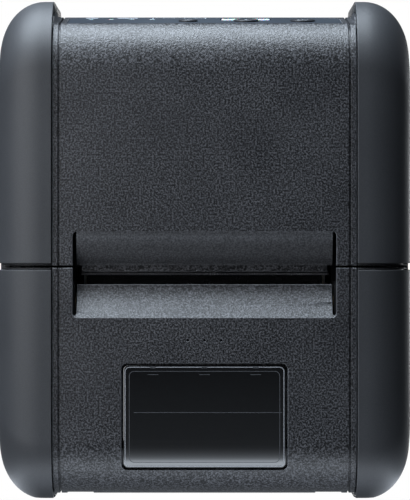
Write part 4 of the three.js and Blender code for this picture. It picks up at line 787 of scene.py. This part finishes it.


# Roll window: a pane that follows the cover's skin, a light ring just inside its edge painted as the edge's
# highlight, its border and tab lines seen through the smoke

pane = {
    "wide": (-0.01955, 0.01955), "tall": (0.00825, 0.03315), "radius": 0.0012, "thick": 0.001025,
    "sunk": 0.000075, "edge": 0.00036, "rows": 12, "borderIn": 0.0014, "lineWide": 0.00016,
    "lineLift": 0.00002, "outlineIn": 0.00038, "outlineWide": 0.00020, "foldHeight": 0.0217,
    "fold": (-0.0170, 0.0186),
    "tabs": (-0.0124, 0.0, 0.0123), "neckWide": 0.0014, "neckHeight": 0.0327, "neckLong": 0.0003,
    "footWide": 0.0026, "footHeight": 0.0308,
}


def skinDepth(z, inset):
    radius = housing["frontRadius"] - inset
    drop = max(0.0, housing["bottom"] + housing["frontRadius"] - z)
    return housing["front"] + housing["frontRadius"] - math.sqrt(radius ** 2 - drop ** 2)


# Cuts a flat plate that faces -Y into rows and lays it on the skin; its own depth becomes its inset.
def layOnSkin(bm, inset):
    low, foot = pane["tall"][0], housing["bottom"] + housing["frontRadius"]
    for row in range(pane["rows"]):
        height = low + (foot - low) * (row + 0.5) / pane["rows"]
        bmesh.ops.bisect_plane(bm, geom=bm.verts[:] + bm.edges[:] + bm.faces[:], dist=cutDistance,
                               plane_co=(0, 0, height), plane_no=zAxis)
    for vert in bm.verts:
        vert.co.y = skinDepth(vert.co.z, inset + vert.co.y)


def markRing(bm, inward, wide):
    centre, halfWidth, halfTall = zAxis * middleOf(pane["tall"]), halfOf(pane["wide"]), halfOf(pane["tall"])
    face = roundedFace(bm, centre, xAxis, zAxis, halfWidth - inward, halfTall - inward, pane["radius"])
    ring = bmesh.ops.inset_region(bm, faces=[face], thickness=wide, use_boundary=True,
                                  use_even_offset=True)["faces"]
    bmesh.ops.delete(bm, geom=[face], context="FACES_ONLY")
    extrude(bm, ring, yAxis * pane["lineLift"], True)


def markLine(bm, left, right, low, high):
    frontPlate(bm, 0, (left, right), (low, high), 0, pane["lineLift"])


lens = bmesh.new()
frontPlate(lens, 0, pane["wide"], pane["tall"], pane["radius"], pane["thick"], edge=pane["edge"])
layOnSkin(lens, pane["sunk"])
standIn(lens, "window_lens", "smokedWindow", "roll_window")

markSunk = pane["sunk"] - 2 * pane["lineLift"]
# a light ring just inside the lens edge: a painted highlight of the edge
rim = bmesh.new()
markRing(rim, pane["outlineIn"], pane["outlineWide"])
layOnSkin(rim, markSunk)
addPiece(rim, "window_rim", "cover", "windowEdgeHighlight", "smoked_window")

lines = bmesh.new()
markRing(lines, pane["borderIn"], pane["lineWide"])
markLine(lines, *pane["fold"], pane["foldHeight"], pane["foldHeight"] + pane["lineWide"])
for x in pane["tabs"]:
    neck, foot = pane["neckWide"] / 2, pane["footWide"] / 2
    markLine(lines, x - neck, x + neck, pane["neckHeight"] - pane["neckLong"], pane["neckHeight"])
    markLine(lines, x - foot, x + foot, pane["footHeight"], pane["footHeight"] + pane["lineWide"])
layOnSkin(lines, markSunk)
addPiece(lines, "window_lines", "cover", "windowMark", "smoked_window")
print("window ready")


# Panel on the slope: x across, y up the slope, z out of it

panel = {
    "rise": 0.0033, "run": 0.0247, "front": -0.0227, "low": 0.1156, "keyY": 0.008, "keyProud": 0.0005,
    "keyFoot": -0.0027, "dish": 0.00022, "dishRings": ((0.45, 0.7), (0.85, 0.4)), "keyEdge": 0.00022,
    "edgeBulge": 0.3, "flangeFoot": 0.0005, "flange": 0.0007, "keySteps": 48,
    "printThick": 0.00002, "printLift": 0.00003, "arcSteps": 14,
    "statusX": (0.00415, 0.01615), "statusY": (0.01365, 0.01935), "statusRadius": 0.0007,
    "statusThick": 0.0021, "statusEdge": 0.00018,
}
keys = {
    "power": {"x": 0.024, "radius": 0.003, "node": "power_button", "lines": 3},
    "feed": {"x": 0.0102, "radius": 0.003, "node": "feed_button", "lines": 2},
    "wireless": {"x": -0.004, "radius": 0.0023, "node": "wireless_button", "lines": 2},
}
panelTilt = Matrix.Rotation(math.atan2(panel["rise"], panel["run"]), 4, "X")
panelSeat = Matrix.Translation((0, panel["front"], panel["low"])) @ panelTilt


def seatOnPanel(bm):
    bmesh.ops.transform(bm, matrix=panelSeat, verts=bm.verts)
    return bm


def printShape(bm, points, height):
    face = bm.faces.new([bm.verts.new((x, y, height)) for x, y in points])
    face.normal_update()
    if face.normal.z < 0:
        face.normal_flip()
    extrude(bm, [face], zAxis * panel["printThick"], True)


def printBar(bm, left, right, low, high, height):
    printShape(bm, [(left, low), (right, low), (right, high), (left, high)], height)


def printArc(bm, centre, radius, wide, turns, height):
    start, end = [math.radians(turn) for turn in turns]
    angles = [start + (end - start) * step / panel["arcSteps"] for step in range(panel["arcSteps"] + 1)]
    outline = [(radius, turn) for turn in angles] + [(radius - wide, turn) for turn in reversed(angles)]
    printShape(bm, [(centre[0] + reach * math.cos(turn), centre[1] + reach * math.sin(turn))
                    for reach, turn in outline], height)


refined("operation_panel", "panel_plate", "panelFilm", smoothAngle=smoothing["angle"])

for keyName, key in keys.items():
    top, foot, edge, radius = panel["keyProud"], panel["keyFoot"], panel["keyEdge"], key["radius"]
    ledge, bulge, dish = foot + panel["flangeFoot"], edge * panel["edgeBulge"], panel["dish"]
    flange = radius + panel["flange"]
    profile = [(foot, 0), (foot, flange), (ledge, flange), (ledge, radius), (top - edge, radius),
               (top - bulge, radius - bulge), (top, radius - edge)]
    profile += [(top - dish * fall, (radius - edge) * reach) for fall, reach in panel["dishRings"]]
    cap = bmesh.new()
    lathe(cap, profile + [(top - dish, 0)], zAxis, Vector((key["x"], panel["keyY"], 0)), panel["keySteps"])
    standIn(seatOnPanel(cap), keyName + "_key_cap", "keyPlastic", key["node"])

icons = {
    "lift": 0.00012, "stroke": 0.00013,
    "ring": 0.00135, "ringWide": 0.00026, "ringTurns": (125, 415), "stem": (0.0004, 0.0017),
    "paperHalf": 0.0013, "paper": (-0.0012, -0.00095), "arrow": (-0.0005, 0.0007, 0.0015), "barb": 0.0007,
    "source": -0.0009, "waves": (0.0006, 0.0011, 0.0016), "waveWide": 0.00022, "waveTurns": (50, 130),
    "dot": 0.00022, "dotWide": 0.00021, "dotTurns": (0, 359),
}


def powerIcon(bm, x, y, height):
    printArc(bm, (x, y), icons["ring"], icons["ringWide"], icons["ringTurns"], height)
    low, high = icons["stem"]
    printBar(bm, x - icons["stroke"], x + icons["stroke"], y + low, y + high, height)


def feedIcon(bm, x, y, height):
    low, high = icons["paper"]
    printBar(bm, x - icons["paperHalf"], x + icons["paperHalf"], y + low, y + high, height)
    foot, neck, tip = [y + level for level in icons["arrow"]]
    stroke, barb = icons["stroke"], icons["barb"]
    printShape(bm, [(x - stroke, foot), (x + stroke, foot), (x + stroke, neck), (x + barb, neck), (x, tip),
                    (x - barb, neck), (x - stroke, neck)], height)


def wirelessIcon(bm, x, y, height):
    source = (x, y + icons["source"])
    for radius in icons["waves"]:
        printArc(bm, source, radius, icons["waveWide"], icons["waveTurns"], height)
    printArc(bm, source, icons["dot"], icons["dotWide"], icons["dotTurns"], height)


for keyName, draw in (("power", powerIcon), ("feed", feedIcon), ("wireless", wirelessIcon)):
    icon = bmesh.new()
    draw(icon, keys[keyName]["x"], panel["keyY"], panel["keyProud"] - panel["dish"] + icons["lift"])
    addPiece(seatOnPanel(icon), keyName + "_icon", keyName + "_key", "printInk", "panel")

scale = {"left": -0.0129, "right": 0.0004, "low": 0.0190, "high": 0.0220, "wide": 0.00030, "ticks": 5,
         "tickFoot": 0.0206}
prints = {"blocks": ((-0.0294, -0.0264), (-0.0216, -0.0166)), "blockTall": (0.0200, 0.0218),
          "line": (0.0124, 0.0127), "lineHalf": 0.0016, "lineShorter": 0.0004, "linePitch": 0.0007}
ink, lift = bmesh.new(), panel["printLift"]
for left, right in prints["blocks"]:
    printBar(ink, left, right, *prints["blockTall"], lift)
printBar(ink, scale["left"], scale["right"], scale["high"] - scale["wide"], scale["high"], lift)
for tick in range(scale["ticks"] + 1):
    x = scale["left"] + (scale["right"] - scale["left"] - scale["wide"]) * tick / scale["ticks"]
    low = scale["low"] if tick in (0, scale["ticks"]) else scale["tickFoot"]
    printBar(ink, x, x + scale["wide"], low, scale["high"] - scale["wide"], lift)
for key in keys.values():
    for line in range(key["lines"]):
        reach, rise = prints["lineHalf"] - prints["lineShorter"] * line, prints["linePitch"] * line
        low, high = prints["line"]
        printBar(ink, key["x"] - reach, key["x"] + reach, low + rise, high + rise, lift)
addPiece(seatOnPanel(ink), "panel_prints", "base", "printInk", "panel")

status = bmesh.new()
statusCentre = Vector((middleOf(panel["statusX"]), middleOf(panel["statusY"]), 0))
roundedPlate(status, statusCentre, xAxis, yAxis, halfOf(panel["statusX"]), halfOf(panel["statusY"]),
             panel["statusRadius"], panel["statusThick"], edge=panel["statusEdge"])
standIn(seatOnPanel(status), "status_lens", "lightPipe", "status_window")
print("panel ready")


# Tear bar: one folded strip with fine teeth ground along its front

tearBar = {"halfLength": 0.0298, "front": -0.0250, "toothDeep": 0.00035, "ground": -0.0234, "heel": -0.0213,
           "back": -0.0207, "low": 0.0547, "high": 0.0553, "legTop": 0.0600, "edgeHalf": 0.00012,
           "teeth": 100}


def sweepX(bm, outline, halfLength, steps=1):
    face = bm.faces.new([bm.verts.new((-halfLength, y, z)) for y, z in outline])
    ring, faces = pull(bm, [face], xAxis * 2 * halfLength / steps, True)
    for _ in range(steps - 1):
        ring, faces = pull(bm, faces, xAxis * 2 * halfLength / steps)


def bladeOutline():
    low, high, top = tearBar["low"], tearBar["high"], tearBar["legTop"]
    middle, half = (low + high) / 2, tearBar["edgeHalf"]
    front, ground, heel, back = tearBar["front"], tearBar["ground"], tearBar["heel"], tearBar["back"]
    return [(front, middle - half), (front, middle + half), (ground, high), (heel, high), (heel, top),
            (back, top), (back, low), (ground, low)]


blade = bmesh.new()
sweepX(blade, bladeOutline(), tearBar["halfLength"], 2 * tearBar["teeth"])
toothStep = tearBar["halfLength"] / tearBar["teeth"]
for vert in blade.verts:
    step = round((vert.co.x + tearBar["halfLength"]) / toothStep)
    if abs(vert.co.y - tearBar["front"]) < weldDistance and step % 2 == 0:
        vert.co.y += tearBar["toothDeep"]
standIn(blade, "tear_blade", "groundSteel", "tear_bar", smoothAngle=smoothing["blade"])


# Port cover and lever pad, with their grip ribs

portCover = {"x": 0.0498, "thick": 0.002, "y": (-0.0156, -0.0039), "z": (0.0768, 0.0976), "radius": 0.0008,
             "edge": 0.00045, "barrel": 0.001, "barrelX": 0.0488, "stub": 0.0005, "stubOut": 0.0018,
             "ribs": 4, "ribPitch": 0.0011, "ribFrom": -0.0144, "ribHalfTall": 0.0055, "ribHalf": 0.00028,
             "ribProud": 0.00015, "steps": 20}
leverPad = {"x": -0.0498, "y": -0.013, "z": 0.065, "ribs": 5, "pitch": 0.0015, "halfLong": 0.0029,
            "half": 0.00035, "proud": 0.00018}
ribForm = {"round": 0.9, "sunk": 2, "edge": 0.6, "steps": 3}


def addRib(bm, top, across, halfWidth, halfTall, proud):
    roundedPlate(bm, top, across, zAxis, halfWidth, halfTall, min(halfWidth, halfTall) * ribForm["round"],
                 proud * ribForm["sunk"], steps=ribForm["steps"], edge=proud * ribForm["edge"])


cover = bmesh.new()
(low, high), middle = portCover["z"], middleOf(portCover["z"])
roundedPlate(cover, Vector((portCover["x"], middleOf(portCover["y"]), middle)), yAxis, zAxis,
             halfOf(portCover["y"]), halfOf(portCover["z"]), portCover["radius"], portCover["thick"],
             edge=portCover["edge"])
out, stub, barrel = portCover["stubOut"], portCover["stub"], portCover["barrel"]
lathe(cover, [(low - out, 0), (low - out, stub), (low, stub), (low, barrel), (high, barrel), (high, stub),
              (high + out, stub), (high + out, 0)],
      zAxis, Vector((portCover["barrelX"], portCover["y"][1], 0)), portCover["steps"])
for rib in range(portCover["ribs"]):
    place = portCover["ribFrom"] + rib * portCover["ribPitch"]
    addRib(cover, Vector((portCover["x"] + portCover["ribProud"], place, middle)), yAxis,
           portCover["ribHalf"], portCover["ribHalfTall"], portCover["ribProud"])
standIn(cover, "port_cover", "bumperRubber", "port_flap")

refined("release_lever", "lever_slider", "keyPlastic", smoothAngle=smoothing["angle"])
ribs = bmesh.new()
for rib in range(leverPad["ribs"]):
    height = leverPad["z"] + (rib - (leverPad["ribs"] - 1) / 2) * leverPad["pitch"]
    addRib(ribs, Vector((leverPad["x"] - leverPad["proud"], leverPad["y"], height)), -yAxis,
           leverPad["halfLong"], leverPad["half"], leverPad["proud"])
addPiece(ribs, "lever_ribs", "lever", "keyPlastic", "key")
print("tear bar, port cover and lever ready")


# Screws, inserts and pins

screwKinds = {
    "case": {"head": 0.0023, "thick": 0.0012, "shank": 0.0011, "length": 0.009, "finish": "blackScrew"},
    "board": {"head": 0.0018, "thick": 0.001, "shank": 0.0008, "length": 0.0066, "finish": "platedSteel"},
    "motor": {"head": 0.0015, "thick": 0.0009, "shank": 0.0008, "length": 0.0036, "finish": "platedSteel"},
}
screwForm = {"steps": 24, "threaded": 0.9, "threadPitch": 0.0005, "threadDeep": 0.00014, "seatShare": 0.94,
             "seatRise": 0.12, "dome": 0.35, "domeRings": ((0.25, 0.86), (0, 0.6), (0, 0)), "crossLong": 0.62,
             "crossHalf": 0.11, "crossDeep": 0.6, "crossFlare": 1.15}


# A screw along +Z with its seat at the origin, its head above and its thread below.
def screwMesh(kind):
    bm = bmesh.new()
    head, thick, shank, length = kind["head"], kind["thick"], kind["shank"], kind["length"]
    pitch, deep, dome = screwForm["threadPitch"], screwForm["threadDeep"], screwForm["dome"]
    profile = [(-length, 0), (-length, shank - deep * 2)]
    for turn in range(int(length * screwForm["threaded"] / pitch)):
        along = -length + (turn + 0.5) * pitch
        profile += [(along, shank - deep), (along + pitch / 2, shank)]
    profile += [(0, shank), (0, head * screwForm["seatShare"]), (thick * screwForm["seatRise"], head),
                (thick * (1 - dome), head)]
    profile += [(thick * (1 - dome * fall), head * reach) for fall, reach in screwForm["domeRings"]]
    lathe(bm, profile, zAxis, Vector(), screwForm["steps"])
    blank = closedShape(bm, "screwBlank")
    cross = bmesh.new()
    reach, half = head * screwForm["crossLong"], head * screwForm["crossHalf"]
    arm = [(reach, -half), (reach, half), (half, half)]
    outline = arm + [(-y, x) for x, y in arm] + [(-x, -y) for x, y in arm] + [(y, -x) for x, y in arm]
    floor = thick * (1 - screwForm["crossDeep"])
    face = cross.faces.new([cross.verts.new((x, y, floor)) for x, y in outline])
    top, _ = extrude(cross, [face], zAxis * thick, True)
    bmesh.ops.scale(cross, verts=top, vec=(screwForm["crossFlare"], screwForm["crossFlare"], 1))
    cutter = closedShape(cross, "screwCross")
    carve(blank, [cutter])
    settle(blank)
    mesh = blank.data
    discard([blank, cutter])
    return mesh


screwShapes = {kind: screwMesh(size) for kind, size in screwKinds.items()}
screwPlaces = {"caseX": 0.029, "caseY": 0.0275, "caseZ": (0.014, 0.048), "boardX": 0.027, "boardY": -0.0033,
               "boardZ": (0.074, 0.1054), "motorX": 0.0294, "motorZ": 0.0549,
               "motorY": {"motor_screw_front": -0.0071, "motor_screw_back": 0.0105}}


def addScrew(node, kind, seat, axis):
    bm = bmesh.new()
    bm.from_mesh(screwShapes[kind])
    turned = axis.to_track_quat("Z", "Y").to_matrix().to_4x4()
    bmesh.ops.transform(bm, matrix=Matrix.Translation(seat) @ turned, verts=bm.verts)
    standIn(bm, node + "_turned", screwKinds[kind]["finish"], node)


for sideName, side in sides:
    for number, z in enumerate(screwPlaces["caseZ"], 1):
        seat = Vector((side * screwPlaces["caseX"], screwPlaces["caseY"], z))
        addScrew("case_screw_%s_%d" % (sideName, number), "case", seat, yAxis)
boardSpots = [(side * screwPlaces["boardX"], z) for z in screwPlaces["boardZ"] for _, side in sides]
for number, (x, z) in enumerate(boardSpots, 1):
    addScrew("board_screw_%d" % number, "board", Vector((x, screwPlaces["boardY"], z)), yAxis)
for node, y in screwPlaces["motorY"].items():
    addScrew(node, "motor", Vector((screwPlaces["motorX"], y, screwPlaces["motorZ"])), -xAxis)

platenAxis, hingeAxis = (-0.0190, 0.0475), (-0.0145, 0.0044)
turned = {
    "platen_shaft": ("platenShaftBar", "platedSteel", platenAxis, 0, 40, (
        (-0.0333, -0.0325, 0.0016), (-0.0325, 0.0362, 0.00195), (0.0362, 0.0368, 0.0016))),
    "platen_roller": ("platenSleeve", "platenRubber", platenAxis, 0.00215, 72, ((-0.0295, 0.0295, 0.005),)),
    "platen_bush_left": ("bushLeft", "sinteredBronze", platenAxis, 0.00215, 40, (
        (-0.0330, -0.0310, 0.003), (-0.0310, -0.0301, 0.0039))),
    "platen_bush_right": ("bushRight", "sinteredBronze", platenAxis, 0.00215, 40, (
        (0.0301, 0.0310, 0.0039), (0.0310, 0.0330, 0.003))),
    "motor_shaft": ("motorShaftBar", "platedSteel", (0.00171, 0.05493), 0, 24, ((0.0309, 0.0368, 0.00075),)),
    "idler_pin": ("idlerPinBar", "platedSteel", (-0.00621, 0.04701), 0, 32, (
        (0.0311, 0.0367, 0.0011), (0.0367, 0.0373, 0.0019))),
    "hinge_pin_left": ("hingePinLeft", "platedSteel", hingeAxis, 0, 28, ((-0.0328, -0.0278, 0.0012),)),
    "hinge_pin_right": ("hingePinRight", "platedSteel", hingeAxis, 0, 28, ((0.0278, 0.0328, 0.0012),)),
}
turnedChamfer = 0.00018
for node, (name, finish, (y, z), bore, facets, steps) in turned.items():
    bm = bmesh.new()
    lathe(bm, barProfile(steps, turnedChamfer, bore), xAxis, Vector((0, y, z)), facets)
    standIn(bm, name, finish, node)

insert = {"z": 0.033, "x": 0.013, "bore": 0.0015, "facets": 36,
          "steps": ((0.0231, 0.0250, 0.0024), (0.0250, 0.0260, 0.0021), (0.0260, 0.0280, 0.0024))}
for sideName, side in sides:
    bm = bmesh.new()
    lathe(bm, barProfile(insert["steps"], turnedChamfer, insert["bore"]), yAxis,
          Vector((side * insert["x"], 0, insert["z"])), insert["facets"])
    standIn(bm, "insert_" + sideName, "turnedBrass", "clip_insert_" + sideName)
print("screws and turned pieces ready")


# Springs: each starts at a place and winds along an axis

headCoil = {"axis": yAxis, "radius": 0.0017, "wire": 0.00035, "turns": 3, "length": 0.0028}
springs = {
    "head_spring_left": ("headCoilLeft", (-0.0200, -0.0104, 0.0509), headCoil),
    "head_spring_right": ("headCoilRight", (0.0200, -0.0104, 0.0509), headCoil),
    "latch_spring": ("latchCoil", (0, 0.02485, 0.0529),
                     {"axis": zAxis, "radius": 0.0011, "wire": 0.00025, "turns": 4, "length": 0.0061}),
    "lever_spring": ("leverCoil", (-0.0428, -0.013, 0.0682),
                     {"axis": zAxis, "radius": 0.0015, "wire": 0.0003, "turns": 4, "length": 0.0071}),
}
coils = {}
for node, (name, start, form) in springs.items():
    bm = bmesh.new()
    coil(bm, Vector(start), **form)
    coils[node] = standIn(bm, name, "springSteel", node, even=False)
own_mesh(coils["lever_spring"])
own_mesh(coils["latch_spring"])


# Print head and its mount

head = {"halfLong": 0.0292, "face": -0.0137, "thick": 0.0008, "tall": (0.0446, 0.0554), "edge": 0.0001,
        "beadZ": 0.0475, "beadHalf": 0.0006, "beadProud": 0.0002, "beadSteps": 8,
        "coatAndShadeTall": (0.0503, 0.0553), "coatAndShadeShare": 0.985, "coatRadius": 0.0012, "coatProud": 0.00024,
        "coatSunk": 1.5, "coatEdge": 0.0002}
plate = bmesh.new()
frontPlate(plate, head["face"], (-head["halfLong"], head["halfLong"]), head["tall"], 0, head["thick"],
           edge=head["edge"])
standIn(plate, "head_plate", "headCeramic", "print_head")
bead = bmesh.new()
angles = [math.pi * step / head["beadSteps"] for step in range(head["beadSteps"] + 1)]
sweepX(bead, [(head["face"] - head["beadProud"] * math.sin(turn),
               head["beadZ"] - head["beadHalf"] * math.cos(turn)) for turn in angles], head["halfLong"])
addPiece(bead, "heater_line", "base", "heaterGlaze", "ceramic")
# the black driver coat is laid over nearly the whole length and the upper part of the head so that the paper
# slot in front of it shows dark: partly the real coat, partly a dark sheet standing in for the slot's shade
coat = bmesh.new()
coatHalf = head["halfLong"] * head["coatAndShadeShare"]
frontPlate(coat, head["face"] - head["coatProud"], (-coatHalf, coatHalf), head["coatAndShadeTall"],
           head["coatRadius"], head["coatProud"] * head["coatSunk"], edge=head["coatEdge"])
addPiece(coat, "driver_coat_and_slot_shade", "base", "driverCoat", "ceramic")

sink = {"front": -0.0126, "back": -0.0106, "low": 0.0446, "high": 0.0566, "halfLong": 0.0295, "fins": 5,
        "finDeep": 0.0006}
outline = [(sink["front"], sink["low"]), (sink["front"], sink["high"])]
rise = (sink["high"] - sink["low"]) / (2 * sink["fins"] - 1)
for fin in range(sink["fins"]):
    top, slot = sink["high"] - 2 * fin * rise, sink["back"] - sink["finDeep"]
    outline += [(sink["back"], top), (sink["back"], top - rise)]
    if fin < sink["fins"] - 1:
        outline += [(slot, top - rise), (slot, top - 2 * rise)]
mount = bmesh.new()
sweepX(mount, outline, sink["halfLong"])
standIn(mount, "head_sink", "sinkAluminium", "head_mount")


# Board parts, radio can and battery contacts

radioCan = {"x": -0.017, "z": 0.0897,
            "can": {"y": -0.0077, "half": 0.0070, "radius": 0.0006, "thick": 0.0018, "edge": 0.0003},
            "foot": {"y": -0.0061, "half": 0.0069, "radius": 0.0002, "thick": 0.0006, "edge": 0}}
radio = bmesh.new()
for layer in (radioCan["can"], radioCan["foot"]):
    roundedPlate(radio, Vector((radioCan["x"], layer["y"], radioCan["z"])), xAxis, zAxis, layer["half"],
                 layer["half"], layer["radius"], layer["thick"], edge=layer["edge"])
standIn(radio, "radio_can", "platedSteel", "wireless_module")

chips = {"face": -0.0052, "radius": 0.0002, "edge": 0.00012, "places": (
    (0.006, 0.094, 0.0045, 0.0045, 0.0010), (0.014, 0.080, 0.0035, 0.0025, 0.0012),
    (-0.006, 0.103, 0.0025, 0.0020, 0.0009), (0.020, 0.100, 0.0020, 0.0030, 0.0015),
    (0.010, 0.103, 0.0012, 0.0008, 0.0008), (-0.002, 0.082, 0.0012, 0.0008, 0.0008))}
parts = bmesh.new()
for x, z, halfWide, halfTall, tall in chips["places"]:
    roundedPlate(parts, Vector((x, chips["face"] - tall, z)), xAxis, zAxis, halfWide, halfTall,
                 chips["radius"], tall, steps=2, edge=chips["edge"], edgeSteps=1)
addPiece(parts, "board_chips", "base", "driverCoat", "circuit_board")

contact = {"x": 0.008, "z": (0.073, 0.079), "y": (-0.0033, 0.0066), "radius": 0.0005, "edge": 0.0002,
           "blades": 4, "pitch": 0.0036, "bladeHalf": 0.0005, "bladeTall": 0.0020, "bladeProud": 0.0002,
           "bladeDeep": 0.003, "bladeRadius": 0.0002, "bladeEdge": 0.0001}
block = bmesh.new()
roundedPlate(block, Vector((0, contact["y"][1], middleOf(contact["z"]))), -xAxis, zAxis, contact["x"],
             halfOf(contact["z"]), contact["radius"], contact["y"][1] - contact["y"][0], edge=contact["edge"])
standIn(block, "contact_block", "innerPlastic", "battery_contacts")
blades = bmesh.new()
for number in range(contact["blades"]):
    x = (number - (contact["blades"] - 1) / 2) * contact["pitch"]
    tip = Vector((x, contact["y"][1] + contact["bladeProud"], middleOf(contact["z"])))
    roundedPlate(blades, tip, -xAxis, zAxis, contact["bladeHalf"], contact["bladeTall"],
                 contact["bladeRadius"], contact["bladeDeep"], steps=3, edge=contact["bladeEdge"])
addPiece(blades, "contact_blades", "base", "turnedBrass", "brass")

refined("usb_socket", "usb_can", "platedSteel", smoothAngle=smoothing["angle"])
refined("dc_socket", "power_jack", "innerPlastic", smoothAngle=smoothing["angle"])
print("head, boards and contacts ready")

plainFinishes = {"light_guide": "lightPipe", "key_board": "circuitBoard", "main_board": "circuitBoard",
                 "head_flex": "flexFilm"}
for node, finish in plainFinishes.items():
    nodes[node].data.materials.clear()
    nodes[node].data.materials.append(finishes[finish])
print("solids dressed:", len(plainFinishes))
